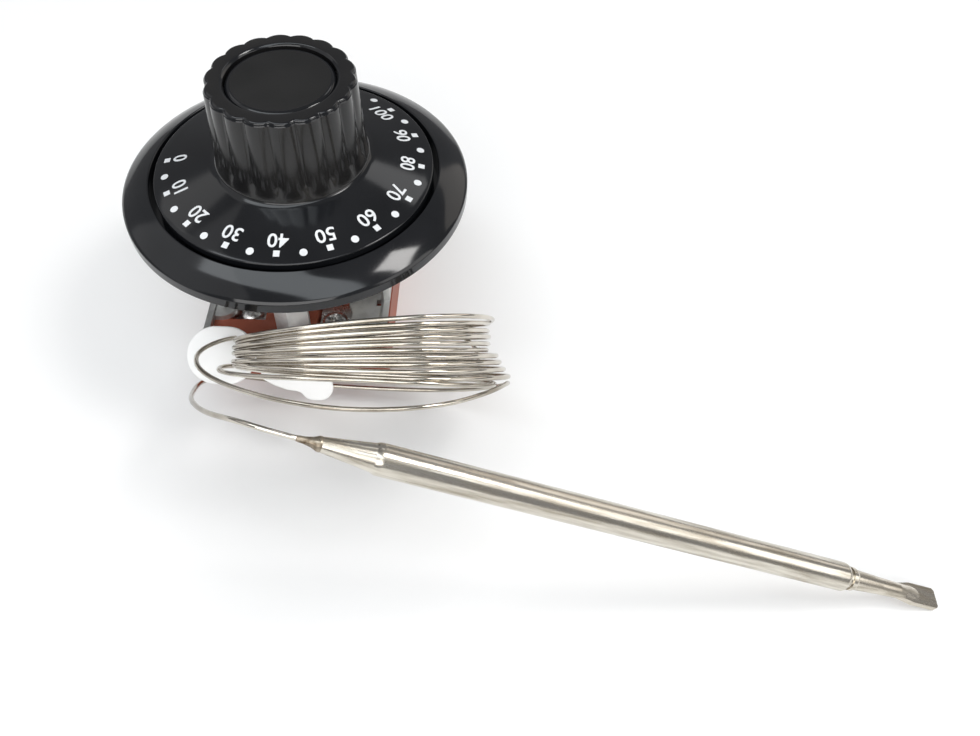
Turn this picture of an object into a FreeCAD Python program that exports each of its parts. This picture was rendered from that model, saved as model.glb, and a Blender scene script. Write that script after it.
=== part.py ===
import FreeCAD, Part
import math
import os
import re
import Sketcher

# Capillary thermostat. Origin on the bench under the spindle, +Z up the spindle, -Y the terminal side.
# Lengths are in millimetres and angles in degrees.

Vector = FreeCAD.Vector

# Driving dimensions: name, size, what it measures
SIZES = (
    # Stack of the body, from the bench up
    ("coverThick", 1.6, "bottom cover"),
    ("stripLift", 2.8, "cover to the fixed contact's strip"),
    ("fixedTall", 0.7, "fixed contact above its strip"),
    ("movingTall", 1.05, "moving contact below its blade"),
    ("bladeThick", 0.3, "blade"),
    ("bladeRoom", 2.2, "blade to the chamber's roof"),
    ("baseRoof", 3.0, "chamber roof to the base's top"),
    ("capsuleTall", 3.8, "capsule cup height"),
    ("discThick", 0.35, "diaphragm sheet"),
    ("discRise", 0.9, "centre pad of the diaphragm"),
    ("pushGap", 0.05, "gap between faces that push"),
    ("pushLong", 3.05, "push pin"),
    ("leverThick", 1.5, "lever strip"),
    ("springRoom", 7.3, "lever to the nut"),
    ("nutThick", 3.5, "nut height"),
    ("nutRoom", 1.8, "nut to the stop washer"),
    ("stopThick", 1.2, "stop washer"),
    ("collarThick", 1.4, "spindle collar"),
    ("endPlay", 0.1, "axial clearance"),
    ("bushFlangeThick", 1.4, "bush flange height"),
    ("sheet", 1.5, "bracket sheet"),
    # Sheet bracket
    ("frameLeft", 23.0, "spindle to the left leg's outer face"),
    ("frameRight", 21.0, "spindle to the right leg's outer face"),
    ("frameFront", 21.0, "front edge of the top plate"),
    ("frameBack", 17.0, "back edge of the top plate"),
    ("bend", 2.6, "outer bend radius"),
    ("legHalf", 12.0, "half width of a leg"),
    ("skirtDrop", 5.5, "skirt below the base's top"),
    ("skirtOver", 2.1, "skirt above the base's top"),
    ("footReach", 10.0, "right leg to the foot's inner edge"),
    ("footNarrow", 6.2, "the same behind the terminal"),
    ("footSet", 1.0, "foot beyond the top plate's front edge"),
    ("footSlotEdge", 2.8, "right leg to the small slot in the foot"),
    ("footSlotY", 11.8, "the slot's centre, in front of the spindle"),
    ("footSlotHalf", 0.6, "half width of the slot"),
    ("footSlotLong", 1.0, "half length of the slot"),
    ("notch", 4.5, "notch round the right screw"),
    ("tabReach", 5.2, "left tab"),
    ("tabHalf", 3.6, "half width of a tab"),
    ("tabFrontY", 14.2, "front tab's centre"),
    ("rivetBackY", 9.0, "back rivets"),
    ("rivetFrontY", 6.5, "front rivet"),
    ("rivetEdge", 4.1, "leg to a rivet"),
    ("rivetHead", 1.8, "rivet head radius"),
    ("rivetShank", 1.2, "rivet shank radius"),
    ("rivetTall", 1.0, "rivet head height"),
    ("rivetWall", 2.6, "moulded post round a rivet"),
    ("postLeft", 5.6, "front post, left edge"),
    ("postFold", 2.2, "front post, fold"),
    ("postRight", 2.5, "front post, right edge"),
    ("postThick", 1.2, "front post sheet"),
    ("postProud", 1.5, "how far the fold stands forward"),
    ("tongueHalf", 3.1, "half width of the back tongue"),
    ("tongueY", 9.5, "spindle to the back tongue"),
    ("tongueDrop", 2.5, "tongue below the nut"),
    ("guideHalf", 1.1, "half width of the guide slot"),
    # Panel screws
    ("screwSpan", 28.0, "between the panel screws"),
    ("panelScrewHead", 3.5, "panel screw head radius"),
    ("panelScrewTall", 2.1, "panel screw head height"),
    ("panelScrewShank", 1.95, "panel screw shank radius"),
    ("panelScrewLong", 6.0, "panel screw below its head"),
    ("crossLong", 1.7, "half length of a screw's cross"),
    ("crossWide", 0.35, "half width of a screw's cross"),
    ("crossDeep", 1.0, "depth of a screw's cross"),
    # Moulded base
    ("baseLedge", 4.0, "base beyond the top plate's front edge"),
    ("baseBack", 19.0, "spindle to the back face"),
    ("baseCorner", 1.5, "corner radius"),
    ("baseWall", 2.6, "wall round the contact chamber"),
    ("chamberFront", 11.0, "spindle to the front of the chamber"),
    # Terminals
    ("baseShoulder", 3.6, "wall left of the left terminal"),
    ("terminalWall", 1.4, "wall between the right terminal and the channel"),
    ("commonY", 13.0, "left terminal screw, in front of the spindle"),
    ("loadY", 15.9, "right terminal screw, in front of the spindle"),
    ("terminalHalf", 3.8, "half width of a terminal"),
    ("terminalThick", 0.8, "terminal strip"),
    ("terminalGap", 0.5, "room round a terminal"),
    ("screwHead", 3.1, "head radius of a terminal screw"),
    ("screwHeadTall", 2.2, "head height"),
    ("screwShank", 1.6, "shank radius"),
    # Spindle and its bush
    ("shaft", 6.0, "spindle diameter"),
    ("shaftFlat", 1.6, "axis to the flat"),
    ("running", 0.05, "radial clearance of a running fit"),
    ("bushRadius", 5.0, "bush through the plate"),
    ("bushFlange", 6.5, "bush flange"),
    ("bushTop", 3.4, "bush above the panel seat"),
    ("collarRadius", 4.6, "spindle collar"),
    ("clipThick", 0.7, "retaining clip"),
    ("grooveRadius", 2.5, "clip groove"),
    ("spindleTip", 3.5, "spindle below the nut"),
    ("stopInner", 7.0, "stop washer radius"),
    ("stopOuter", 11.6, "stop lug radius"),
    ("stopHalf", 42.0, "half angle of the lug"),
    ("stopTurn", -61.0, "the lug's direction at rest"),
    # Setting nut, spring, lever
    ("nutHalf", 7.0, "half width of the nut"),
    ("seatBoss", 4.0, "spring seat boss radius"),
    ("seatTall", 1.4, "spring seat boss height"),
    ("springWire", 1.2, "spring wire diameter"),
    ("springMean", 4.8, "spring mean radius"),
    ("springTurns", 4.0, "spring turns"),
    ("leverHalf", 5.0, "half width of the lever"),
    ("leverRoom", 5.0, "right leg to the lever's free end"),
    ("leverTip", 3.4, "half width of the free end"),
    ("pivotEdge", 6.0, "left leg to the pivot"),
    ("eyeRadius", 2.2, "rolled eye of the lever"),
    ("pinRadius", 1.0, "pivot pin"),
    ("earInner", 5.4, "spindle plane to an ear's inner face"),
    ("earThick", 1.2, "ear"),
    ("earRadius", 2.8, "rounding of an ear"),
    ("strikerEdge", 8.0, "right leg to the striker"),
    ("trimRadius", 1.45, "calibration screw"),
    ("trimReach", 3.8, "calibration screw above and below the lever's top"),
    ("trimBoss", 2.7, "extruded collar on the lever"),
    # Diaphragm capsule
    ("capsuleRadius", 11.0, "capsule"),
    ("capsuleWall", 0.7, "cup wall"),
    ("pushRadius", 1.5, "push pin"),
    ("glandY", 4.0, "gland in front of the spindle"),
    ("glandRadius", 1.5, "gland"),
    # Striker, blade, contacts
    ("strikerRadius", 1.2, "striker"),
    ("bladeHalf", 2.5, "half width of the blade"),
    ("bladeFrom", 2.9, "blade's anchored end"),
    ("bladePast", 1.6, "blade beyond the contact"),
    ("contactPast", 3.4, "contacts beyond the striker"),
    ("contactRadius", 1.8, "contact face"),
    # Capillary
    ("capillary", 1.0, "capillary outside diameter"),
    ("grooveWide", 1.8, "channel for the capillary"),
    ("grooveDeep", 2.1, "channel depth"),
    ("rootSunk", 1.2, "capillary below the base's top in the channel"),
    ("rootExitY", 17.5, "where the capillary leaves, in front of the spindle"),
    ("rootEdge", 6.8, "right leg to the channel"),
    ("rootRun", 5.2, "channel to the gland"),
    ("rootBend", 3.2, "bend in the channel"),
    # Bezel, heights above the panel seat
    ("bezelDiameter", 79.0, "outside"),
    ("bezelBand", 6.6, "width of the ring"),
    ("bezelRim", 2.6, "outer wall"),
    ("bezelLip", 5.9, "inner edge"),
    ("bezelWall", 1.6, "shell"),
    ("bezelWeb", 1.8, "web under the dial"),
    ("webHole", 8.0, "hole in the web, radius"),
    ("bezelCrown", 26.0, "rounding of the slope"),
    # Knob, heights above the panel seat
    ("dialGap", 1.2, "gap between the dial and the bezel"),
    ("dialEdge", 6.4, "top of the dial's edge"),
    ("dialThick", 1.7, "dial sheet"),
    ("gripFoot", 10.1, "where the grip meets the dial"),
    ("gripTop", 30.3, "top of the grip"),
    ("gripBaseRadius", 16.35, "grip between flutes, at the foot"),
    ("gripTopRadius", 15.35, "grip between flutes, at the top"),
    ("gripWall", 2.8, "grip wall"),
    ("lobeRadius", 4.1, "one lobe of the grip"),
    ("lobes", 18, "lobes round the grip"),
    ("capRadius", 12.0, "cap disc"),
    ("capThick", 1.5, "cap disc height"),
    ("capSunk", 0.7, "cap below the grip's top"),
    ("capGap", 0.05, "room round the cap"),
    ("bossRadius", 5.4, "boss on the spindle"),
    ("bossFoot", 4.5, "boss above the panel seat"),
    ("knobRoof", 2.4, "wall under the cap"),
    ("shaftTop", 25.0, "spindle's upper end"),
    # Coil, in its own plane
    ("coilHalf", 29.2, "half length"),
    ("coilRadius", 22.5, "half depth"),
    ("coilRing", 2.5, "thickness of the winding"),
    ("coilTallLeft", 8.7, "height at the neat end"),
    ("coilTallRight", 14.2, "height at the loose end"),
    ("coilMidLeft", -1.4, "middle of the neat end, above the coil's plane"),
    ("coilMidRight", 1.25, "middle of the loose end, above the coil's plane"),
    ("coilTilt", 50.85, "slope of the coil"),
    ("coilX", 19.3, "coil's centre"),
    ("coilY", -40.3, "coil's centre"),
    ("coilZ", 29.6, "coil's centre"),
    # Tie
    ("tieWall", 1.0, "strap"),
    ("tieRoom", 0.6, "winding to the strap"),
    ("tieLoop", 3.2, "room left of the winding, where the tail passes"),
    ("tieNear", 3.0, "band, from the coil's long axis"),
    ("tieWide", 5.0, "band width"),
    ("tieHeadTall", 6.5, "head, half height"),
    ("tieHeadLong", 1.3, "head, half of its straight stretch"),
    ("tieHeadX", 33.5, "head's centre"),
    ("tieHeadDrop", 1.8, "head's centre below the coil's plane"),
    ("tieTailX", 12.2, "centre of the tail's round end"),
    ("tieTailDrop", 8.3, "tail's round end below the coil's plane"),
    ("tieTailHalf", 2.9, "half width of the tail"),
    # Bulb
    ("bulbRadius", 3.0, "bulb"),
    ("bulbStraight", 101.9, "straight length"),
    ("bulbTaper", 11.2, "taper to the capillary"),
    ("bulbMouth", 1.35, "mouth of the taper, radius"),
    ("shoulder", 1.4, "length of the rounded step after the taper"),
    ("shoulderIn", 0.35, "height of that step"),
    ("brazeLong", 4.1, "braze fillet"),
    ("bulbGroove", 2.2, "radius of the groove before the filling tube"),
    ("grooveLong", 0.7, "length of the groove"),
    ("stemRadius", 2.45, "filling tube's collar at the bulb"),
    ("stemTip", 1.65, "filling tube before the crimp"),
    ("stemLong", 13.8, "round part of the filling tube"),
    ("crimpLong", 10.2, "crimped end"),
    ("crimpHalf", 2.3, "half width of the crimp"),
    ("crimpThick", 1.3, "crimp thickness"),
    ("crimpBlend", 3.4, "half length of the change from round to flat"),
)

# Places worked out from the sizes above: name and expression
WORKED = {
    "loadStripZ": "coverThick + stripLift",
    "fixedTop": "loadStripZ + terminalThick + fixedTall",
    "bladeTop": "fixedTop + pushGap + movingTall + bladeThick",
    "commonStripZ": "bladeTop - bladeThick - terminalThick",
    "cavityTop": "bladeTop + bladeRoom",
    "baseTop": "cavityTop + baseRoof",
    "leverTop": "baseTop + capsuleTall + discRise + discThick + pushLong + pushGap * 2 + leverThick",
    "nutFoot": "leverTop + springRoom",
    "bodyDepth": "nutFoot + nutThick + nutRoom + stopThick + collarThick + endPlay + bushFlangeThick + sheet",
    "innerLeft": "frameLeft - sheet",
    "innerRight": "frameRight - sheet",
    "baseFront": "frameFront + baseLedge",
    "rivetLeft": "frameLeft - rivetEdge",
    "rivetRight": "frameRight - rivetEdge",
    "pivotX": "frameLeft - pivotEdge",
    "leverEnd": "frameRight - leverRoom",
    "strikerX": "frameRight - strikerEdge",
    "contactX": "strikerX + contactPast",
    "bladeEnd": "contactX + bladePast",
    "rootX": "frameRight - rootEdge",
    "rootZ": "baseTop - rootSunk",
    "glandX": "rootX - rootRun",
    "loadX": "rootX - grooveWide / 2 - terminalWall - terminalGap - terminalHalf",
    "commonX": "innerLeft - baseShoulder - terminalGap - terminalHalf",
    "bezelBore": "bezelDiameter - bezelBand * 2",
    "dialRadius": "bezelBore / 2 - dialGap",
    "stopTop": "nutFoot + nutThick + nutRoom + stopThick",
    "collarTop": "stopTop + collarThick",
}

document = FreeCAD.newDocument("CapillaryThermostat")
sheet = document.addObject("Spreadsheet::Sheet", "Sizes")
for row, (alias, amount, meaning) in enumerate(SIZES, start=1):
    sheet.set("A%d" % row, meaning)
    sheet.set("B%d" % row, str(amount))
    sheet.setAlias("B%d" % row, alias)
document.recompute()
ALIAS = re.compile(r"\b(%s)\b" % "|".join(alias for alias, amount, meaning in SIZES))
PLACE = re.compile(r"\b(%s)\b" % "|".join(WORKED))


# Helpers

def cell(text):
    # writes out the worked places, then puts the sheet's name before each size in an expression
    while PLACE.search(text):
        text = PLACE.sub(lambda found: "(%s)" % WORKED[found.group()], text)
    return ALIAS.sub(r"Sizes.\1", text)


def value(text):
    return float(sheet.evalExpression(cell(text)))


def block(name, x, y, z):
    # a box between two expressions on each axis
    box = document.addObject("Part::Box", name)
    for side, axis, (low, high) in (("Length", "x", x), ("Width", "y", y), ("Height", "z", z)):
        box.setExpression(side, cell("(%s) - (%s)" % (high, low)))
        box.setExpression("Placement.Base." + axis, cell(low))
    return box


def rod(name, radius, foot, length, axis="z"):
    # a cylinder from its foot along one axis
    cylinder = document.addObject("Part::Cylinder", name)
    if axis == "x":
        cylinder.Placement.Rotation = FreeCAD.Rotation(Vector(0, 1, 0), 90)
    if axis == "y":
        cylinder.Placement.Rotation = FreeCAD.Rotation(Vector(1, 0, 0), -90)
    cylinder.setExpression("Radius", cell(radius))
    cylinder.setExpression("Height", cell(length))
    for letter, place in zip("xyz", foot):
        cylinder.setExpression("Placement.Base." + letter, cell(place))
    return cylinder


def joined(name, *pieces):
    fuse = document.addObject("Part::MultiFuse", name)
    fuse.Shapes = list(pieces)
    fuse.Refine = True
    return fuse


def cut(name, base, *tools):
    result = document.addObject("Part::Cut", name)
    result.Base = base
    result.Tool = tools[0] if len(tools) == 1 else joined(name + "Tools", *tools)
    result.Refine = True
    return result


def kept(name, base, tool):
    common = document.addObject("Part::Common", name)
    common.Base = base
    common.Tool = tool
    return common


def group(name, *pieces):
    # like fasteners, as separate solids of one node
    compound = document.addObject("Part::Compound", name)
    compound.Links = list(pieces)
    return compound


def arcBetween(start, end, radius, side):
    # circle arc from start to end; side 1 has its centre on the left of the way
    chord = end - start
    middle = (start + end) * 0.5
    reach = math.sqrt(max(radius ** 2 - (chord.Length / 2) ** 2, 0.0))
    left = Vector(-chord.y, chord.x, 0).normalize()
    centre = middle + left * reach * side
    first = math.atan2(start.y - centre.y, start.x - centre.x)
    last = math.atan2(end.y - centre.y, end.x - centre.x)
    if side < 0:
        first, last = last, first
    return Part.ArcOfCircle(Part.Circle(centre, Vector(0, 0, 1), radius), first, last)


def outline(sketch, path):
    # A closed outline. A corner is a pair of expressions, and (radius, side) between two corners
    # makes that stretch an arc. Every corner and radius is bound to the sheet.
    corners = [item for item in path if len(item) == 2 and not isinstance(item[1], int)]
    arcs = {}
    count = 0
    for item in path:
        if isinstance(item[1], int):
            arcs[count - 1] = item
        else:
            count += 1
    places = [Vector(value(x), value(y), 0) for x, y in corners]
    ends = []
    for index, start in enumerate(places):
        end = places[(index + 1) % len(places)]
        if index in arcs:
            radius, side = arcs[index]
            number = sketch.addGeometry(arcBetween(start, end, value(radius), side), False)
            held = sketch.addConstraint(Sketcher.Constraint("Radius", number, value(radius)))
            sketch.setExpression("Constraints[%d]" % held, cell(radius))
            ends.append((number, 1, 2) if side > 0 else (number, 2, 1))
        else:
            number = sketch.addGeometry(Part.LineSegment(start, end), False)
            ends.append((number, 1, 2))
    for index, (number, first, last) in enumerate(ends):
        following = ends[(index + 1) % len(ends)]
        sketch.addConstraint(Sketcher.Constraint("Coincident", number, last, following[0], following[1]))
    for (number, first, last), place, corner in zip(ends, places, corners):
        for kind, amount, text in (("DistanceX", place.x, corner[0]), ("DistanceY", place.y, corner[1])):
            held = sketch.addConstraint(Sketcher.Constraint(kind, -1, 1, number, first, amount))
            sketch.setExpression("Constraints[%d]" % held, cell(text))


def sketchOn(body, plane, path, lift="0"):
    sketch = body.newObject("Sketcher::SketchObject", body.Name + "Outline")
    support = [feature for feature in body.Origin.OriginFeatures if feature.Role == plane][0]
    sketch.AttachmentSupport = [(support, "")]
    sketch.MapMode = "FlatFace"
    sketch.setExpression("AttachmentOffset.Base.z", cell(lift))
    outline(sketch, path)
    return sketch


def turned(name, path):
    # a body of revolution about Z; the outline is radius and height
    body = document.addObject("PartDesign::Body", name)
    sketch = sketchOn(body, "XZ_Plane", path)
    turn = body.newObject("PartDesign::Revolution", name + "Turn")
    turn.Profile = sketch
    turn.ReferenceAxis = (sketch, ["V_Axis"])
    turn.Angle = 360
    sketch.Visibility = False
    return body


def pressed(name, path, low, high):
    # a flat outline padded upwards between two heights
    body = document.addObject("PartDesign::Body", name)
    sketch = sketchOn(body, "XY_Plane", path, low)
    pad = body.newObject("PartDesign::Pad", name + "Pad")
    pad.Profile = sketch
    pad.setExpression("Length", cell("(%s) - (%s)" % (high, low)))
    return body


def folded(name, path, front, back):
    # an outline seen from the front, padded from front to back along Y
    body = document.addObject("PartDesign::Body", name)
    sketch = sketchOn(body, "XZ_Plane", path, front)
    pad = body.newObject("PartDesign::Pad", name + "Pad")
    pad.Profile = sketch
    pad.Reversed = True
    pad.setExpression("Length", cell("(%s) + (%s)" % (front, back)))
    return body


def sidePlate(name, path, low, high):
    # an outline in the YZ plane, padded between two places on X
    body = document.addObject("PartDesign::Body", name)
    sketch = sketchOn(body, "YZ_Plane", path, low)
    pad = body.newObject("PartDesign::Pad", name + "Pad")
    pad.Profile = sketch
    pad.setExpression("Length", cell("(%s) - (%s)" % (high, low)))
    return body


def roundBox(name, x, y, z, radius):
    # a box with round upright corners
    (left, right), (front, back) = x, y
    corner = (radius, 1)
    path = (
        ("%s + %s" % (left, radius), front), ("%s - %s" % (right, radius), front), corner,
        (right, "%s + %s" % (front, radius)), (right, "%s - %s" % (back, radius)), corner,
        ("%s - %s" % (right, radius), back), ("%s + %s" % (left, radius), back), corner,
        (left, "%s - %s" % (back, radius)), (left, "%s + %s" % (front, radius)), corner,
    )
    return pressed(name, path, z[0], z[1])


def crossSlot(name, x, y, z):
    # the cross in a screw's head
    bars = []
    for bar, halfX, halfY in (("Across", "crossLong", "crossWide"), ("Along", "crossWide", "crossLong")):
        bars.append(block(name + bar, ("%s - %s" % (x, halfX), "%s + %s" % (x, halfX)),
                          ("%s - %s" % (y, halfY), "%s + %s" % (y, halfY)), z))
    return joined(name, *bars)


def lifted(path, ground):
    # heights of an outline counted from a level
    return [item if isinstance(item[1], int) else (item[0], "%s + %s" % (ground, item[1])) for item in path]


nodes = {}


def node(name, item):
    item.Label = name
    nodes[name] = item
    return item


# Bezel: a sloping ring with a web that the dial hides, and two holes for the panel screws

def makeBezel():
    path = lifted((
        ("webHole", "0"), ("bezelBore / 2 + bezelWall", "0"),
        ("bezelBore / 2 + bezelWall", "bezelLip - bezelWall - 0.6"),
        ("bezelDiameter / 2 - bezelWall", "bezelRim - bezelWall * 0.5"),
        ("bezelDiameter / 2 - bezelWall", "0"), ("bezelDiameter / 2", "0"),
        ("bezelDiameter / 2", "bezelRim - 0.5"),
        ("0.6", 1), ("bezelDiameter / 2 - 0.35", "bezelRim"),
        ("bezelCrown", 1), ("bezelBore / 2 + 0.4", "bezelLip"),
        ("0.4", 1), ("bezelBore / 2", "bezelLip - 0.4"),
        ("bezelBore / 2", "bezelWeb"), ("webHole", "bezelWeb"),
    ), "bodyDepth")
    ring = turned("bezelRing", path)
    holes = [rod("bezelHole%d" % side, "panelScrewShank + 0.3",
                 ("screwSpan / 2 * %d" % side, "0", "bodyDepth - 1"), "bezelWeb + 2") for side in (-1, 1)]
    node("bezel_ring", cut("bezel", ring, *holes))


# Knob: the cone of the dial, the fluted grip and the boss are one moulding

def makeKnob():
    path = lifted((
        ("0", "gripTop - capSunk - capThick"), ("capRadius + capGap", "gripTop - capSunk - capThick"),
        ("capRadius + capGap", "gripTop"), ("gripTopRadius - 0.3", "gripTop"),
        ("gripBaseRadius - 0.3", "gripFoot"),
        ("dialRadius - 0.3", "dialEdge"), ("0.4", -1), ("dialRadius", "dialEdge - 0.3"),
        ("dialRadius", "dialEdge - dialThick"),
        ("gripBaseRadius", "gripFoot - dialThick"), ("gripBaseRadius - gripWall", "gripFoot - dialThick + 0.4"),
        ("gripTopRadius - gripWall", "gripTop - capSunk - capThick - knobRoof"),
        ("bossRadius", "gripTop - capSunk - capThick - knobRoof"), ("bossRadius", "bossFoot"), ("0", "bossFoot"),
    ), "bodyDepth")
    core = turned("knobCore", path)
    # the flutes: a scalloped outline at the grip's foot and top, ruled between the two
    sections = []
    floor = [feature for feature in core.Origin.OriginFeatures if feature.Role == "XY_Plane"][0]
    for name, level, radius in (("fluteLow", "gripFoot - 0.6", "gripBaseRadius"),
                                ("fluteHigh", "gripTop", "gripTopRadius")):
        sketch = core.newObject("Sketcher::SketchObject", name)
        sketch.AttachmentSupport = [(floor, "")]
        sketch.MapMode = "FlatFace"
        sketch.setExpression("AttachmentOffset.Base.z", cell("bodyDepth + " + level))
        path = []
        for index in range(int(value("lobes"))):
            angle = "(360 / lobes * %d)" % index
            path += [("%s * cos(%s)" % (radius, angle), "%s * sin(%s)" % (radius, angle)), ("lobeRadius", 1)]
        outline(sketch, path)
        sections.append(sketch)
    flutes = core.newObject("PartDesign::AdditiveLoft", "flutes")
    flutes.Profile = sections[0]
    flutes.Sections = [sections[1]]
    flutes.Ruled = True
    # the lobes' inner sides are cleared from the cap's seat and from the hollow
    seat = rod("capSeat", "capRadius + capGap", ("0", "0", "bodyDepth + gripTop - capSunk - capThick"),
               "capSunk + capThick + 1")
    hollow = turned("gripHollow", lifted((
        ("bossRadius", "gripFoot - dialThick - 3"), ("gripBaseRadius - gripWall", "gripFoot - dialThick - 3"),
        ("gripBaseRadius - gripWall", "gripFoot - dialThick + 0.4"),
        ("gripTopRadius - gripWall", "gripTop - capSunk - capThick - knobRoof"),
        ("bossRadius", "gripTop - capSunk - capThick - knobRoof"),
    ), "bodyDepth"))
    bevel = turned("gripBevel", lifted((
        ("gripTopRadius + 0.2", "gripTop + 0.1"), ("gripTopRadius + 4", "gripTop + 0.1"),
        ("gripTopRadius + 4", "gripTop - 3.9"),
    ), "bodyDepth"))
    bore = kept("knobBore",
                rod("knobBoreRound", "shaft / 2 + 0.03", ("0", "0", "bodyDepth + bossFoot - 1"),
                    "shaftTop - bossFoot + 1.3"),
                block("knobBoreFlat", ("-shaft", "shaftFlat + 0.03"), ("-shaft", "shaft"),
                      ("bodyDepth", "bodyDepth + gripTop")))
    node("control_knob", cut("knob", core, seat, hollow, bevel, bore))

    cap = lifted((
        ("0", "gripTop - capSunk - capThick"), ("capRadius", "gripTop - capSunk - capThick"),
        ("capRadius", "gripTop - capSunk - 0.4"), ("0.4", 1), ("capRadius - 0.4", "gripTop - capSunk"),
        ("0", "gripTop - capSunk"),
    ), "bodyDepth")
    node("knob_cap", turned("cap", cap))


# Spindle: a turned rod with a collar under the bush, a clip groove over it and a flat for the knob

def makeSpindle():
    top, foot = "bodyDepth + shaftTop", "nutFoot - spindleTip"
    groove = "bodyDepth + bushTop + endPlay - 0.02"
    rodOutline = (
        ("0", foot), ("shaft / 2 - 0.4", foot), ("shaft / 2", foot + " + 0.4"),
        ("shaft / 2", "stopTop"), ("collarRadius", "stopTop"),
        ("collarRadius", "collarTop"), ("shaft / 2", "collarTop"), ("shaft / 2", groove),
        ("grooveRadius", groove), ("grooveRadius", groove + " + clipThick + 0.04"),
        ("shaft / 2", groove + " + clipThick + 0.04"), ("shaft / 2", top + " - 0.5"), ("shaft / 2 - 0.5", top),
        ("0", top),
    )
    flat = block("shaftFlatCut", ("shaftFlat", "shaft"), ("-shaft", "shaft"),
                 ("bodyDepth + bossFoot - pushGap", top + " + 1"))
    node("spindle", cut("spindleRod", turned("spindleTurned", rodOutline), flat))

    bush = turned("bushTurned", lifted((
        ("shaft / 2 + running", "-sheet - bushFlangeThick"), ("bushFlange", "-sheet - bushFlangeThick"),
        ("bushFlange", "-sheet"), ("bushRadius", "-sheet"), ("bushRadius", "bushTop - 0.4"),
        ("bushRadius - 0.4", "bushTop"), ("shaft / 2 + running", "bushTop"),
    ), "bodyDepth"))
    node("spindle_bush", bush)

    clipFoot = "bodyDepth + bushTop + endPlay"
    clip = rod("clipDisc", "bushRadius - 0.2", ("0", "0", clipFoot), "clipThick")
    throat = block("clipThroat", ("-grooveRadius * 0.8", "grooveRadius * 0.8"), ("-shaft", "0"),
                   (clipFoot + " - 1", clipFoot + " + 2"))
    eye = rod("clipEye", "grooveRadius + 0.02", ("0", "0", clipFoot + " - 1"), "clipThick + 2")
    node("spindle_clip", cut("clip", clip, throat, eye))

    # stop washer: its lug meets the back tongue at both ends of the scale
    disc = rod("stopDisc", "stopInner", ("0", "0", "stopTop - stopThick"), "stopThick")
    lug = rod("stopLug", "stopOuter", ("0", "0", "stopTop - stopThick"), "stopThick")
    lug.setExpression("Angle", cell("stopHalf * 2"))
    lug.setExpression("Placement.Rotation.Angle", cell("stopTurn - stopHalf"))
    stopBore = rod("stopBore", "shaft / 2 + 0.02", ("0", "0", "stopTop - stopThick - 1"), "stopThick + 2")
    node("stop_washer", cut("stop", joined("stopBlank", disc, lug), stopBore))


# Bracket: one folded sheet with two legs, a skirt, a foot, tabs, pivot ears, a post and a tongue

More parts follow.
